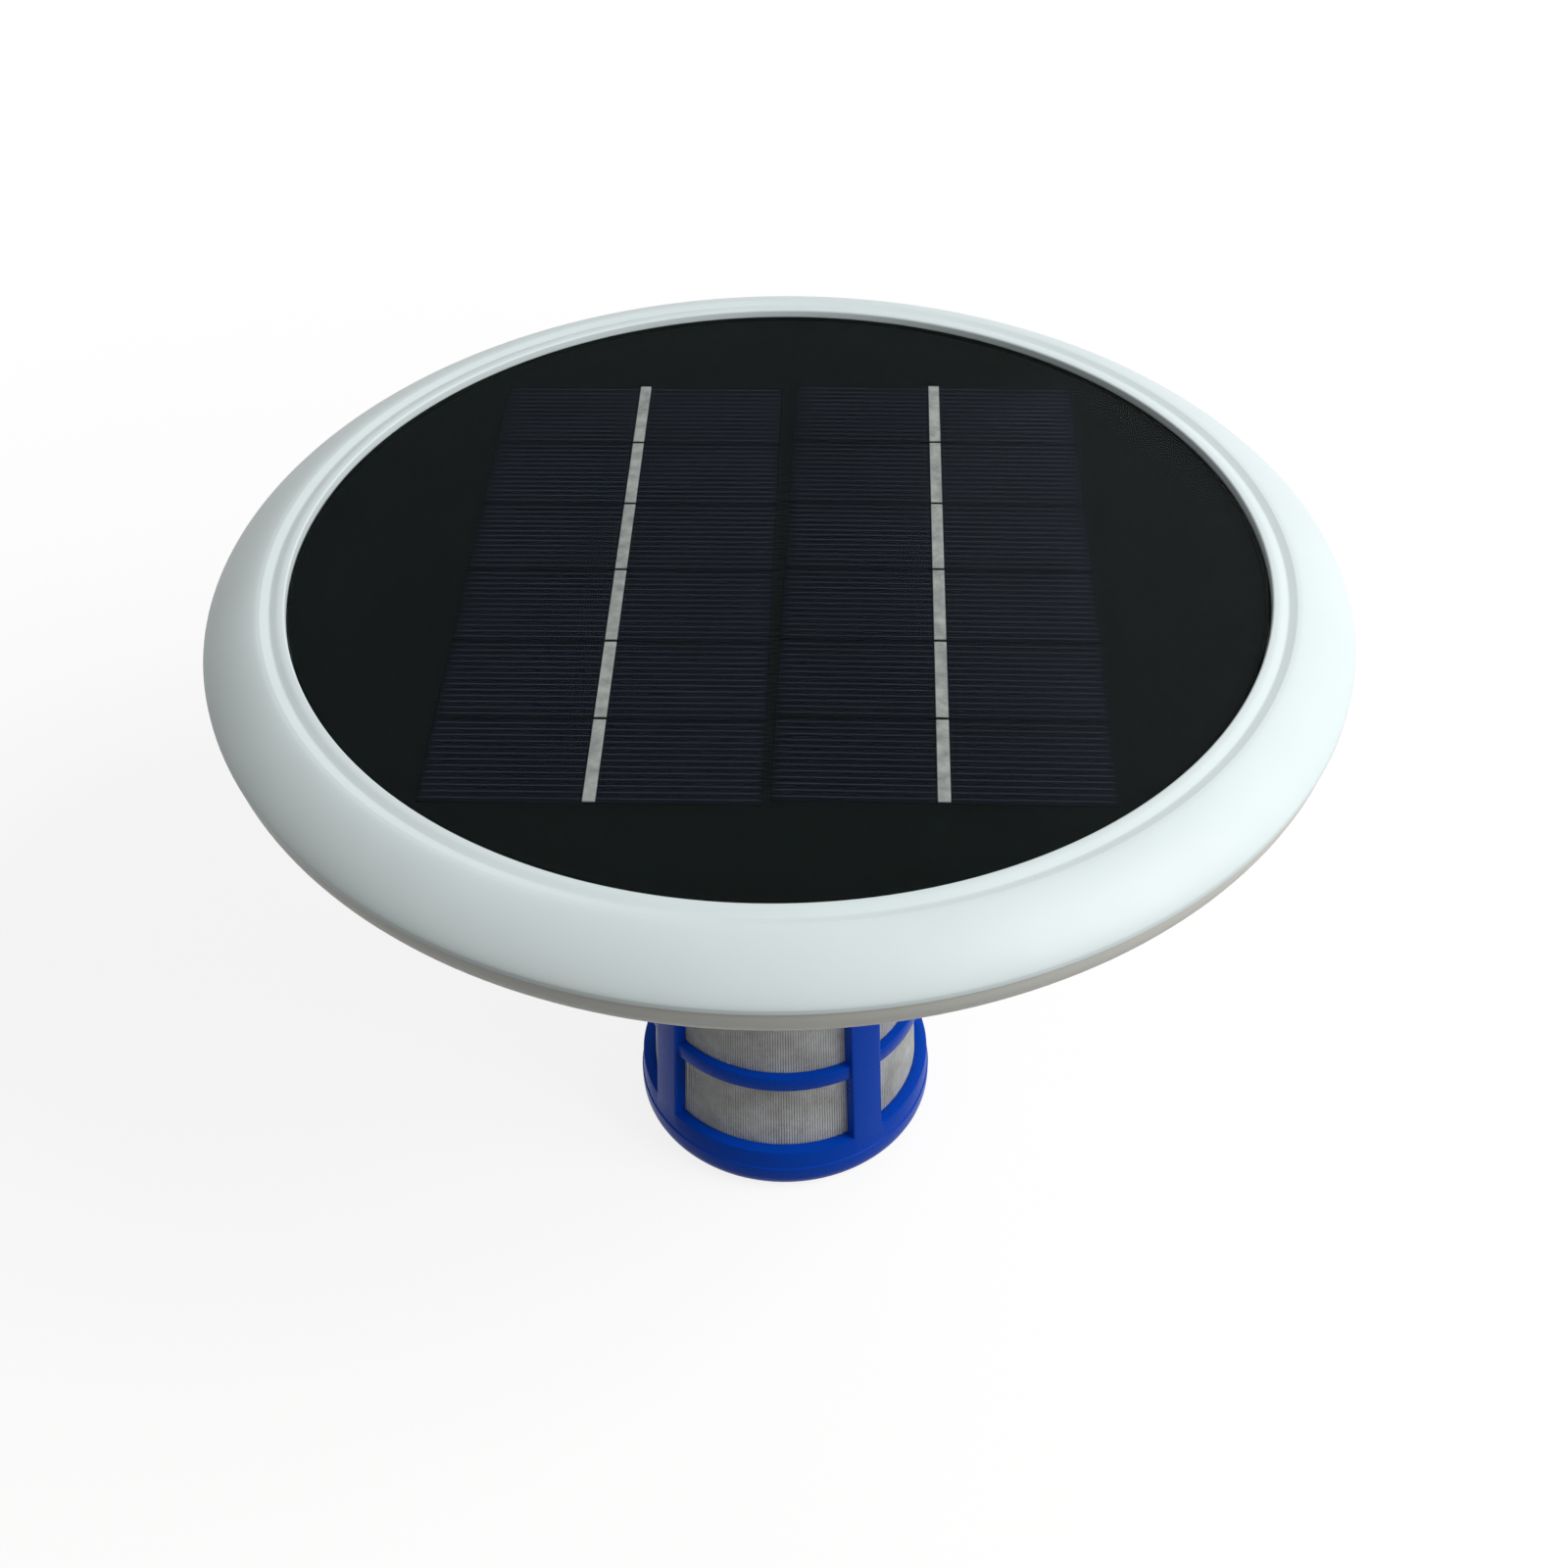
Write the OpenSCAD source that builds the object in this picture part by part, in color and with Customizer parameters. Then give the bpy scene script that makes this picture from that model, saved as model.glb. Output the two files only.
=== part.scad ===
// Floating solar pool ionizer: a round solar float over a caged copper anode.
// Origin: centre of the foot of the basket. +Z up, the front of the unit faces -Y.

/* [Float] */
// Radius of the float at its widest circle
float_r = 100; // [96:1:108]
// Height of the whole unit, from the foot of the basket to the lip round the panel
unit_h = 140; // [136:1:150]
// Wall of the two float mouldings
shell_wall = 2.5; // [2:0.1:3]
// Width of the sloping rim, from its widest circle to its crest
rim_w = 11; // [10:0.5:13]
// Depth of the rim's widest circle below the lip
equator_drop = 7; // [6.5:0.5:9]
// Depth of the rim's crest below the lip
crest_drop = 0.6; // [0.4:0.1:0.8]
// Width of the fine groove between the lip and the rim
groove_w = 1.4; // [1:0.1:2]
// Depth of that groove below the lip
groove_drop = 1; // [0.8:0.1:1.4]
// Width of the raised lip round the panel
lip_w = 2.5; // [2:0.1:3.5]
// Bevel on both edges of the lip
lip_bevel = 0.7; // [0.4:0.1:0.9]
// Height of the straight band between the widest circle and the seam
band_h = 1; // [0.5:0.1:2]
// Step inwards from the cover to the lower shell at the seam
seam_step = 0.4; // [0.2:0.1:0.8]
// Width of the ledge that carries the panel
ledge_w = 6; // [4:0.5:8]

/* [Lower shell] */
// Height of the shell's rounded edge
edge_h = 5.5; // [5:0.5:7]
// How far that edge draws in over its height
edge_in = 1.8; // [1.5:0.1:2.2]
// How much steeper the bowl falls under its edge than on average, in degrees
edge_steeper_angle = 12.7; // [8:0.1:14]
// How much flatter the bowl meets the shoulder than on average, in degrees
foot_flatter_angle = 11.1; // [8:0.1:14]
// Width of the flat shoulder that the basket seats against, outside its spigot
shoulder_w = 9.1; // [8:0.1:12]
// How far the spigot's end stays above the lower edge of the basket's collar
spigot_short = 2.5; // [1:0.5:4]
// Thickness of the plate that closes the neck
plate_t = 3; // [2.5:0.1:4]
// Depth of the plate's upper face below the shoulder
plate_drop = 5; // [4:0.5:6]
// Width of the flange inside the seam
flange_w = 7; // [6.8:0.1:8]

/* [Seam] */
// Width of the gasket in the seam
gasket_w = 1.8; // [1.4:0.1:2]
// Height of the gasket under pressure
gasket_h = 1; // [0.8:0.1:1.4]
// Distance of the gasket's middle from the widest circle
gasket_in = 5.4; // [5.2:0.1:5.6]
// How far the cover's tongue reaches into the groove
tongue_h = 0.6; // [0.4:0.1:0.8]
// Number of screws that hold the shell to the cover
screw_count = 6; // [4:1:8]
// Distance of the screws from the widest circle
screw_in = 9.4; // [9.2:0.1:9.6]
// Radius of a screw
screw_r = 1.45; // [1.2:0.05:1.5]
// Length of a screw under its head
screw_len = 10; // [9:0.5:10.3]
// Radius of a screw's head
screw_head_r = 2.8; // [2.4:0.1:2.9]
// Height of a screw's head
screw_head_h = 1.8; // [1.4:0.1:2.2]
// Width of the cross slots in a screw's head
screw_slot_w = 0.6; // [0.5:0.1:0.8]
// Depth of the screws' seats below the seam
screw_seat_depth = 6; // [5.7:0.1:6.5]
// Wall of the posts and bosses round the screws
boss_wall = 1.5; // [1.2:0.1:1.7]

/* [Solar panel] */
// Depth of the panel's face below the lip
panel_drop = 1; // [0.8:0.1:1.4]
// Clear laminate over the cells
laminate_t = 0.5; // [0.4:0.1:0.8]
// Thickness of a cell
cell_t = 0.4; // [0.3:0.05:0.6]
// Thickness of a ribbon
ribbon_t = 0.2; // [0.15:0.05:0.3]
// Width of a ribbon
ribbon_w = 2; // [1.5:0.1:3]
// Thickness of the board under the cells
board_t = 1.6; // [1:0.1:2]
// Thickness of the sealant bead under the board
sealant_t = 0.5; // [0.3:0.1:0.8]
// Rows of cells
cell_rows = 6; // [4:1:6]
// Distance from the corners of the block of cells to the panel's edge
cell_margin = 3.6; // [3.6:0.1:8]
// Direction of those corners, seen from the middle, in degrees above X
block_corner_angle = 47.95; // [45:0.05:50]
// Gap between the rows of cells
row_gap = 0.6; // [0.4:0.1:1]
// Gap between the two columns of cells
column_gap = 2; // [1.6:0.1:3]
// Lead of the left column over the right one, along Y
column_stagger = 1.3; // [0:0.1:1.6]
// Turn of the left column, in degrees
left_angle = 2.1; // [1.8:0.1:2.8]
// Turn of the right column, in degrees
right_angle = 2.8; // [2.1:0.1:3]
// Place of the block of cells along X
block_x = 0.2; // [-1:0.1:1]
// Place of the block of cells along Y
block_y = -2.1; // [-3:0.1:0]

/* [Basket] */
// Height of the basket, from its foot to its top edge
basket_h = 79.7; // [78:0.1:81]
// Radius of the basket's foot band
foot_r = 30.9; // [30.4:0.1:32]
// Draft of the basket above the foot band, in degrees
draft_angle = 2.93; // [2.5:0.01:3]
// Wall of the basket
basket_wall = 2.5; // [2.2:0.1:2.8]
// Rounding of the basket's lower edge
foot_round = 4.5; // [3.5:0.1:5]
// Width of the flat rim that the unit stands on
foot_rim_w = 6.9; // [6:0.1:7.5]
// Height of the foot band, up to its fine step
foot_band_h = 7; // [6.5:0.1:8]
// Fine step above the foot band
band_step = 0.25; // [0.1:0.05:0.35]
// Height of the lower ring
low_ring_h = 11.8; // [11.4:0.1:13]
// Height of the middle ring
mid_ring_h = 3.5; // [3:0.1:5]
// How far the middle ring stands back from the ribs' faces
mid_ring_step = 0.7; // [0.4:0.1:1]
// How much taller the upper windows are than the lower ones
high_window_more = 2.8; // [2:0.2:4]
// Height of the collar above the upper windows
collar_h = 26.2; // [25:0.2:28]
// Thin wall above the upper windows, behind which the mesh is bonded
lap_h = 2; // [1.5:0.1:2.5]
// Number of upright ribs
rib_count = 4; // [3:1:6]
// Width of a rib
rib_w = 7; // [5:0.5:8]
// Turn of the first rib from the front, in degrees
rib_turn_angle = 34; // [0:1:80]
// Thickness of the collar at its top edge
collar_wall = 2; // [1.8:0.1:2.4]
// Underside of the basket's floor above the foot
floor_z = 8.5; // [8.4:0.1:9]
// Thickness of the basket's floor
floor_t = 2.5; // [2:0.1:2.6]
// Number of spokes in the floor
spoke_count = 8; // [6:1:10]
// Width of a spoke
spoke_w = 2.5; // [2:0.1:3]
// Radius of the hub in the floor
hub_r = 11; // [10:0.5:12]
// Thickness of the mesh
mesh_t = 0.5; // [0.4:0.05:0.5]

/* [Electrodes] */
// Radius of the stud
stud_r = 3; // [2.5:0.1:3]
// Height of the stud's lower end above the foot
stud_end_z = 1.9; // [1.8:0.1:2.2]
// How far the stud stands out of the upper nut
stud_proud = 3; // [2:0.5:4]
// Gap between the anode and the spring
anode_gap = 3.6; // [3:0.1:5]
// Gap between the anode's lock nut and the basket's floor
anode_lift = 7.3; // [5:0.1:12]
// Bevel on the anode's edges
anode_bevel = 1; // [0.5:0.1:1.5]
// Thickness of the rubber seals
seal_t = 1.5; // [1.2:0.1:2]
// Width of the anode's seal and washer round the stud
seal_w = 5; // [4:0.1:6]
// Thickness of the anode's washer
anode_washer_t = 1.2; // [1:0.1:1.6]
// Width across the flats of the stud's nuts
stud_nut_flats = 10; // [9.6:0.1:10.5]
// Height of the stud's nuts
stud_nut_h = 5; // [4.5:0.1:5.5]
// Diameter of the spring's wire
spring_wire = 1.8; // [1.4:0.1:2]
// Turns of the spring
spring_turns = 6; // [4:1:7]
// Height of the spring's lower end above the anode's
spring_lift = 1.8; // [0:0.1:4]
// Radius of the cathode post
post_r = 3; // [2.6:0.1:3.2]
// Length of the cathode post below its seal
post_len = 8.5; // [8:0.1:9.5]
// Radius of the post's threaded shank
shank_r = 2; // [1.6:0.1:2]
// Width across the flats of the cathode nut
post_nut_flats = 7; // [6.6:0.1:7.4]
// Height of the cathode nut
post_nut_h = 3.2; // [2.8:0.1:3.6]
// Gap between the cathode nut and the wall of the neck
post_side_gap = 0.85; // [0.5:0.05:1.2]
// How far the post's shank stands out of its nut
post_proud = 1.5; // [1:0.1:2]

/* [Thumb nut] */
// Radius of the thumb nut
knob_r = 9.5; // [9:0.1:10.5]
// Height of the thumb nut
knob_h = 5.9; // [5.8:0.1:6]
// Number of finger scallops round the thumb nut
scallop_count = 8; // [6:1:10]
// Radius of a scallop
scallop_r = 2.2; // [1.8:0.1:2.5]
// Depth of a scallop
scallop_depth = 0.9; // [0.6:0.1:1.2]
// Thickness of the thumb nut's closed end
knob_cap_t = 0.9; // [0.8:0.05:1]
// Width across the flats of the brass insert
insert_flats = 9; // [8.6:0.1:10]
// Radius of the nut's washer
knob_washer_r = 7.5; // [7:0.1:8.5]
// Thickness of the nut's washer
knob_washer_t = 1.2; // [1:0.1:1.2]

/* [Wiring] */
// Radius of a wire over its insulation
wire_r = 0.9; // [0.7:0.1:1]
// Distance of the wires' upper ends from the middle
wire_top_x = 8.5; // [8:0.1:9]
// Slack of the wires to the side
wire_slack = 7; // [4:0.5:8]
// Inner length of the junction box, along X
box_inner_x = 26; // [25:0.5:28]
// Inner width of the junction box, along Y
box_inner_y = 18; // [17.5:0.5:20]
// Inner depth of the junction box
box_inner_z = 6.5; // [6:0.1:8]
// Wall of the junction box
box_wall = 1.5; // [1.2:0.1:2]
// Length of a solder tab
tab_len = 6; // [5.5:0.1:6.5]
// Width of a solder tab
tab_w = 4; // [3.5:0.1:4.5]
// Thickness of a solder tab
tab_t = 0.8; // [0.6:0.1:1]
// Radius of the diode
diode_r = 1.35; // [1:0.05:1.5]
// Length of the diode
diode_len = 4; // [3.5:0.1:4.4]
// Radius of the diode's leads
lead_r = 0.4; // [0.3:0.05:0.5]
// Thickness of a ring terminal
ring_t = 0.8; // [0.6:0.1:1]
// Width of the metal round a ring terminal's hole
ring_w = 1.6; // [1.4:0.1:1.8]
// Length of a ring terminal's tail, from its ring to its barrel
tail_len = 1.6; // [1.4:0.1:2]
// Length of a ring terminal's barrel
barrel_len = 6; // [5:0.5:8]
// Wall of a ring terminal's barrel
barrel_wall = 0.5; // [0.4:0.1:0.6]

/* [Hidden] */
// Parts of a full turn, in degrees
full_turn = 360;
half_turn = 180;
quarter_turn = 90;
// Overrun of every cut
over = 1;
// Gap between pieces that are bonded to each other
bond_gap = 0.05;
// Radial clearance of a pin or spigot in its bore
fit_gap = 0.05;
// Gap between pieces that move apart
seat_gap = 0.3;
// Gap round the panel in its recess
panel_gap = 0.3;
// Play of the insert and the wires in their pockets
pocket_gap = 0.1;
// Radial play of screws and studs in their clearance holes
hole_gap = 0.2;
// Share of the rim's curve: the power that gives its section
rim_curve_share = 1.5;
// Radius of the spring's upper bend, as a share of its wire
bend_share = 1.5;
// How far the spokes end inside the basket's surface, as a share of its wall
spoke_share = 1.5;
// Steps that the curves are drawn with
curve_steps = 12;
edge_steps = 6;
// Sides of a wire and of the spring's wire
wire_sides = 8;
spring_sides = 6;
$fn = 96;

// Heights of the float
equator_z = unit_h - equator_drop;
crest_z = unit_h - crest_drop;
groove_z = unit_h - groove_drop;
seam_z = equator_z - band_h;
panel_z = unit_h - panel_drop;

// Radii of the cover
crest_r = float_r - rim_w;
lip_out_r = crest_r - groove_w;
lip_in_r = lip_out_r - lip_w;
ledge_r = lip_in_r - ledge_w;
panel_r = lip_in_r - panel_gap;

// Block of cells
block_r = panel_r - cell_margin;
cell_w = block_r * cos(block_corner_angle) - column_gap / 2;
column_pitch = cell_w + column_gap;
row_pitch = 2 * block_r * sin(block_corner_angle) / cell_rows;
cell_d = row_pitch - row_gap;

// Heights of the panel's layers, from the top
cell_top_z = panel_z - laminate_t;
board_top_z = cell_top_z - cell_t;
board_z = board_top_z - board_t;
ledge_z = board_z - sealant_t;

// Places on the lower shell
shell_r = float_r - seam_step;
edge_r = shell_r - edge_in;
edge_z = seam_z - edge_h;
shoulder_z = basket_h + seat_gap;
collar_r = basket_r(basket_h) - collar_wall;
spigot_r = collar_r - fit_gap;
neck_r = spigot_r - shell_wall;
shoulder_r = spigot_r + shoulder_w;
mean_slope = atan((edge_z - shoulder_z) / (edge_r - shoulder_r));
edge_slope = mean_slope + edge_steeper_angle;
foot_slope = mean_slope - foot_flatter_angle;
plate_top_z = shoulder_z - plate_drop;
plate_z = plate_top_z - plate_t;
flange_r = shell_r - flange_w;
gasket_r = float_r - gasket_in;
gasket_z = seam_z - tongue_h - gasket_h;
screw_circle = float_r - screw_in;
screw_seat_z = seam_z - screw_seat_depth;

// Places on the basket
low_win_z = low_ring_h;
low_window_h = (basket_h - low_ring_h - mid_ring_h - collar_h - high_window_more) / 2;
high_window_h = low_window_h + high_window_more;
mid_ring_z = low_win_z + low_window_h;
high_win_z = mid_ring_z + mid_ring_h;
lap_z = high_win_z + high_window_h;
collar_z = lap_z + lap_h;
spigot_z = collar_z + spigot_short;
floor_top_z = floor_z + floor_t;

// Stack of the electrodes, below and above the plate; the post stands on the -X side
stud_bore_r = stud_r + pocket_gap;
stud_hole_r = stud_r + hole_gap;
post_turn = -quarter_turn;
spring_r = neck_r - post_side_gap - hex_r(post_nut_flats);
anode_r = spring_r - spring_wire / 2 - anode_gap;
anode_seal_r = stud_bore_r + seal_w;
anode_top_z = plate_z - seal_t;
lock_nut_z = floor_top_z + anode_lift;
anode_washer_z = lock_nut_z + stud_nut_h;
anode_z = anode_washer_z + anode_washer_t;
stud_ring_z = plate_top_z + seal_t;
stud_nut_z = stud_ring_z + ring_t;
stud_top_z = stud_nut_z + stud_nut_h + stud_proud;
post_top_z = plate_z - seal_t;
post_z = post_top_z - post_len;
post_nut_z = plate_top_z + ring_t;
shank_top_z = post_nut_z + post_nut_h + post_proud;

// Stack of the thumb nut
knob_washer_z = floor_z - seat_gap - knob_washer_t;
knob_top_z = knob_washer_z - seat_gap;
knob_z = knob_top_z - knob_h;
insert_z = knob_z + knob_cap_t;

// Places of the wiring
box_z = board_z - box_inner_z;
lid_z = box_z - box_wall;
box_y = diode_len / 2 - tab_len + tab_w / 2;
strip_z = board_z - ribbon_t;
tab_z = strip_z - tab_t;
diode_z = tab_z - diode_r;
diode_y = -tab_len / 2 - lead_r * 2 - diode_len / 2 + tab_w / 4;
barrel_r = wire_r + pocket_gap + barrel_wall;

// A point of a quadratic curve from a to c that is pulled towards b
function curve(a, b, c, t) = (1 - t) * (1 - t) * a + 2 * t * (1 - t) * b + t * t * c;

// Outer radius of the basket at a height above the foot
function basket_r(z) = foot_r - band_step - (z - foot_band_h) * tan(draft_angle);

// Radius of a hexagon's corners from its width across the flats
function hex_r(flats) = flats / 2 / cos(30);

// Direction in the ground plane, turned from the front towards +X
function front_dir(turn) = [sin(turn), -cos(turn), 0];

// A tube round the axis, or a disc with a hole
module ring(z, h, outer, inner) {
    difference() {
        translate([0, 0, z]) cylinder(h = h, r = outer);
        translate([0, 0, z - over]) cylinder(h = h + 2 * over, r = inner);
    }
}

// A hexagon nut on the Z axis
module hex_nut(z, h, flats, bore) {
    difference() {
        translate([0, 0, z]) cylinder(h = h, r = hex_r(flats), $fn = 6);
        translate([0, 0, z - over]) cylinder(h = h + 2 * over, r = bore);
    }
}

// A round tube swept along points, each with a direction that is square to the path
module swept_tube(points, squares, r, sides) {
    last = len(points) - 1;
    ahead = [for (i = [0:last]) points[min(i + 1, last)] - points[max(i - 1, 0)]];
    rings = [for (i = [0:last])
        let (t = ahead[i] / norm(ahead[i]), n = squares[i], b = cross(t, n))
            for (k = [0:sides - 1])
                points[i] + r * (cos(full_turn * k / sides) * n + sin(full_turn * k / sides) * b)];
    sides_of = [for (i = [0:last - 1], k = [0:sides - 1])
        let (a = i * sides + k, b = i * sides + (k + 1) % sides)
            [a, b, b + sides]];
    more_sides = [for (i = [0:last - 1], k = [0:sides - 1])
        let (a = i * sides + k, b = i * sides + (k + 1) % sides)
            [a, b + sides, a + sides]];
    start = [for (k = [1:sides - 2]) [0, k + 1, k]];
    base = last * sides;
    end = [for (k = [1:sides - 2]) [base, base + k, base + k + 1]];
    polyhedron(points = rings, faces = concat(sides_of, more_sides, start, end));
}

// Sloping rim of the cover, drawn from its crest to its widest circle
function rim_curve(top_r, top_z, low_r, low_z) = [for (i = [0:curve_steps])
    let (t = quarter_turn * i / curve_steps)
        [top_r + (low_r - top_r) * pow(sin(t), rim_curve_share),
         low_z + (top_z - low_z) * pow(cos(t), rim_curve_share)]];

// White top moulding: rim, lip, groove, ledge for the panel and screw bosses
module upper_cover() {
    color("whitesmoke")
    difference() {
        union() {
            rotate_extrude() cover_section();
            at_screws() translate([0, 0, seam_z])
                cylinder(h = crest_z - shell_wall - seam_z, r = screw_r + boss_wall);
        }
        at_screws() translate([0, 0, seam_z - over])
            cylinder(h = over + screw_seat_z + screw_len + seat_gap - seam_z, r = screw_r + fit_gap);
    }
}

module cover_section() {
    polygon(concat(
        [[ledge_r, ledge_z], [lip_in_r, ledge_z], [lip_in_r, unit_h - lip_bevel],
         [lip_in_r + lip_bevel, unit_h], [lip_out_r - lip_bevel, unit_h],
         [lip_out_r, groove_z], [crest_r - lip_bevel, groove_z]],
        rim_curve(crest_r, crest_z, float_r, equator_z),
        [[float_r, seam_z]],
        [for (p = reversed(rim_curve(lip_out_r, crest_z - shell_wall, float_r - shell_wall, seam_z))) p],
        [[lip_out_r, ledge_z - shell_wall], [ledge_r, ledge_z - shell_wall]]));
    translate([gasket_r - gasket_w / 2 + pocket_gap, seam_z - tongue_h])
        square([gasket_w - 2 * pocket_gap, equator_z - seam_z + shell_wall + tongue_h]);
}

function reversed(list) = [for (i = [len(list) - 1:-1:0]) list[i]];

module at_screws() {
    for (i = [0:screw_count - 1])
        rotate([0, 0, full_turn * i / screw_count]) translate([screw_circle, 0, 0]) children();
}

// Outline of the lower shell's bowl, moved in square to its slopes by a wall
function bowl(wall) =
    let (top = [shell_r - wall, seam_z],
         edge = [edge_r - wall * sin(edge_slope), edge_z + wall * cos(edge_slope)],
         foot = [shoulder_r - wall * sin(foot_slope), shoulder_z + wall * cos(foot_slope)],
         bend_z = edge[1] + (top[0] - edge[0]) * tan(edge_slope),
         reach = (edge[1] - foot[1] - (edge[0] - foot[0]) * tan(foot_slope))
             / (tan(edge_slope) - tan(foot_slope)),
         waist = [edge[0] - reach, edge[1] - reach * tan(edge_slope)])
    concat(
        [for (i = [0:edge_steps - 1]) curve(top, [top[0], bend_z], edge, i / edge_steps)],
        [for (i = [0:curve_steps]) curve(edge, waist, foot, i / curve_steps)]);

// White lower moulding: bowl, seam flange, screw posts, neck, plate and spigot
module lower_shell() {
    color("gainsboro")
    difference() {
        rotate_extrude() polygon(concat(
            [[0, seam_z]], bowl(0),
            [[spigot_r, shoulder_z], [spigot_r, spigot_z], [neck_r, spigot_z],
             [neck_r, plate_z], [0, plate_z]]));
        difference() {
            rotate_extrude() polygon(concat(
                [[0, seam_z + over], [shell_r - shell_wall, seam_z + over]], bowl(shell_wall),
                [[neck_r, shoulder_z + shell_wall * cos(foot_slope)], [neck_r, plate_top_z],
                 [0, plate_top_z]]));
            ring(shoulder_z, seam_z - shoulder_z, float_r, flange_r);
            at_screws() translate([0, 0, shoulder_z])
                cylinder(h = seam_z - shoulder_z, r = screw_head_r + hole_gap + boss_wall);
        }
        ring(gasket_z, seam_z - gasket_z + over, gasket_r + gasket_w / 2 + pocket_gap,
             gasket_r - gasket_w / 2 - pocket_gap);
        at_screws() {
            translate([0, 0, shoulder_z]) cylinder(h = unit_h - shoulder_z, r = screw_r + hole_gap);
            translate([0, 0, shoulder_z])
                cylinder(h = screw_seat_z - shoulder_z, r = screw_head_r + hole_gap);
        }
        translate([0, 0, plate_z - over]) cylinder(h = plate_t + 2 * over, r = stud_bore_r);
        at_post() translate([0, 0, plate_z - over])
            cylinder(h = plate_t + 2 * over, r = shank_r + pocket_gap);
    }
}

// Soft ring that seals the seam
module seam_gasket() {
    color("dimgray") ring(gasket_z, gasket_h, gasket_r + gasket_w / 2, gasket_r - gasket_w / 2);
}

// Screws that hold the two mouldings together, driven from below
module shell_screws() {
    color("silver") at_screws() {
        translate([0, 0, screw_seat_z]) cylinder(h = screw_len, r = screw_r);
        difference() {
            translate([0, 0, screw_seat_z - screw_head_h]) cylinder(h = screw_head_h, r = screw_head_r);
            for (turn = [0, quarter_turn]) rotate([0, 0, turn])
                translate([-screw_r, -screw_slot_w / 2, screw_seat_z - screw_head_h - over])
                    cube([2 * screw_r, screw_slot_w, over + screw_head_h / 2]);
        }
    }
}

// Board under the cells
module panel_board() {
    color([0.08, 0.11, 0.1]) translate([0, 0, board_z]) cylinder(h = board_t, r = panel_r);
}

// Bead that bonds the board to its ledge
module panel_sealant() {
    color("gray") ring(ledge_z, sealant_t, panel_r - panel_gap, ledge_r + panel_gap);
}

// Places of the two columns of cells; side is -1 for the left one and 1 for the right one
module at_column(side) {
    turn = side < 0 ? left_angle : right_angle;
    translate([block_x + side * column_pitch / 2, block_y - side * column_stagger / 2, 0])
        rotate([0, 0, -turn]) children();
}

// Something at each row of a column
module at_rows() {
    for (i = [0:cell_rows - 1])
        translate([0, (i - (cell_rows - 1) / 2) * row_pitch, 0]) children();
}

module cell_column(side) {
    at_column(side) at_rows() translate([-cell_w / 2, -cell_d / 2, board_top_z])
        cube([cell_w, cell_d, cell_t]);
}

module ribbon_column(side) {
    at_column(side) at_rows() translate([-ribbon_w / 2, -cell_d / 2, cell_top_z])
        cube([ribbon_w, cell_d, ribbon_t]);
}

module left_cells() { color([0.1, 0.11, 0.19]) cell_column(-1); }

module right_cells() { color([0.1, 0.11, 0.19]) cell_column(1); }

module left_ribbons() { color([0.68, 0.68, 0.64]) ribbon_column(-1); }

module right_ribbons() { color([0.68, 0.68, 0.64]) ribbon_column(1); }

// Clear laminate that covers the cells and fills the space between them
module panel_laminate() {
    color([0.2, 0.25, 0.24, 0.3]) difference() {
        translate([0, 0, board_top_z]) cylinder(h = panel_z - board_top_z, r = panel_r);
        for (side = [-1, 1]) {
            cell_column(side);
            ribbon_column(side);
        }
    }
}

// Ribbons behind the board: a bridge between the columns and a lead from each to its tab
module back_ribbons() {
    end_y = cell_rows * row_pitch / 2;
    color([0.68, 0.68, 0.64]) {
        translate([-column_pitch / 2, block_y + end_y - ribbon_w, strip_z])
            cube([column_pitch, ribbon_w, ribbon_t]);
        for (side = [-1, 1]) {
            reach = column_pitch / 2 - wire_top_x;
            near_y = side < 0 ? tab_len / 2 : diode_y - diode_len / 2;
            translate([side * wire_top_x - ribbon_w / 2, block_y - end_y, strip_z])
                cube([ribbon_w, near_y - block_y + end_y, ribbon_t]);
            translate([side * (wire_top_x + reach / 2) - reach / 2, block_y - end_y, strip_z])
                cube([reach, ribbon_w, ribbon_t]);
        }
    }
}

// Small box behind the board, over the joints of the wires
module junction_box() {
    color([0.1, 0.1, 0.11]) difference() {
        translate([-box_inner_x / 2 - box_wall, box_y - box_inner_y / 2 - box_wall, box_z])
            cube([box_inner_x + 2 * box_wall, box_inner_y + 2 * box_wall, box_inner_z]);
        translate([-box_inner_x / 2, box_y - box_inner_y / 2, box_z - over])
            cube([box_inner_x, box_inner_y, box_inner_z + 2 * over]);
        for (side = [-1, 1])
            translate([side * wire_top_x - ribbon_w / 2 - pocket_gap,
                       box_y - box_inner_y / 2 - box_wall - over, strip_z - pocket_gap])
                cube([ribbon_w + 2 * pocket_gap, box_wall + 2 * over, ribbon_t + pocket_gap + over]);
    }
}

// Lid of that box, with a hole for each wire
module junction_lid() {
    color([0.14, 0.14, 0.15]) difference() {
        translate([-box_inner_x / 2 - box_wall, box_y - box_inner_y / 2 - box_wall, lid_z])
            cube([box_inner_x + 2 * box_wall, box_inner_y + 2 * box_wall, box_wall]);
        for (side = [-1, 1])
            translate([side * wire_top_x, 0, lid_z - over])
                cylinder(h = box_wall + 2 * over, r = wire_r + hole_gap);
    }
}

// Tabs that the wires are soldered to
module solder_tabs() {
    color("goldenrod") for (side = [-1, 1])
        translate([side * wire_top_x - tab_w / 2, -tab_len / 2, tab_z])
            cube([tab_w, tab_len, tab_t]);
}

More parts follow.
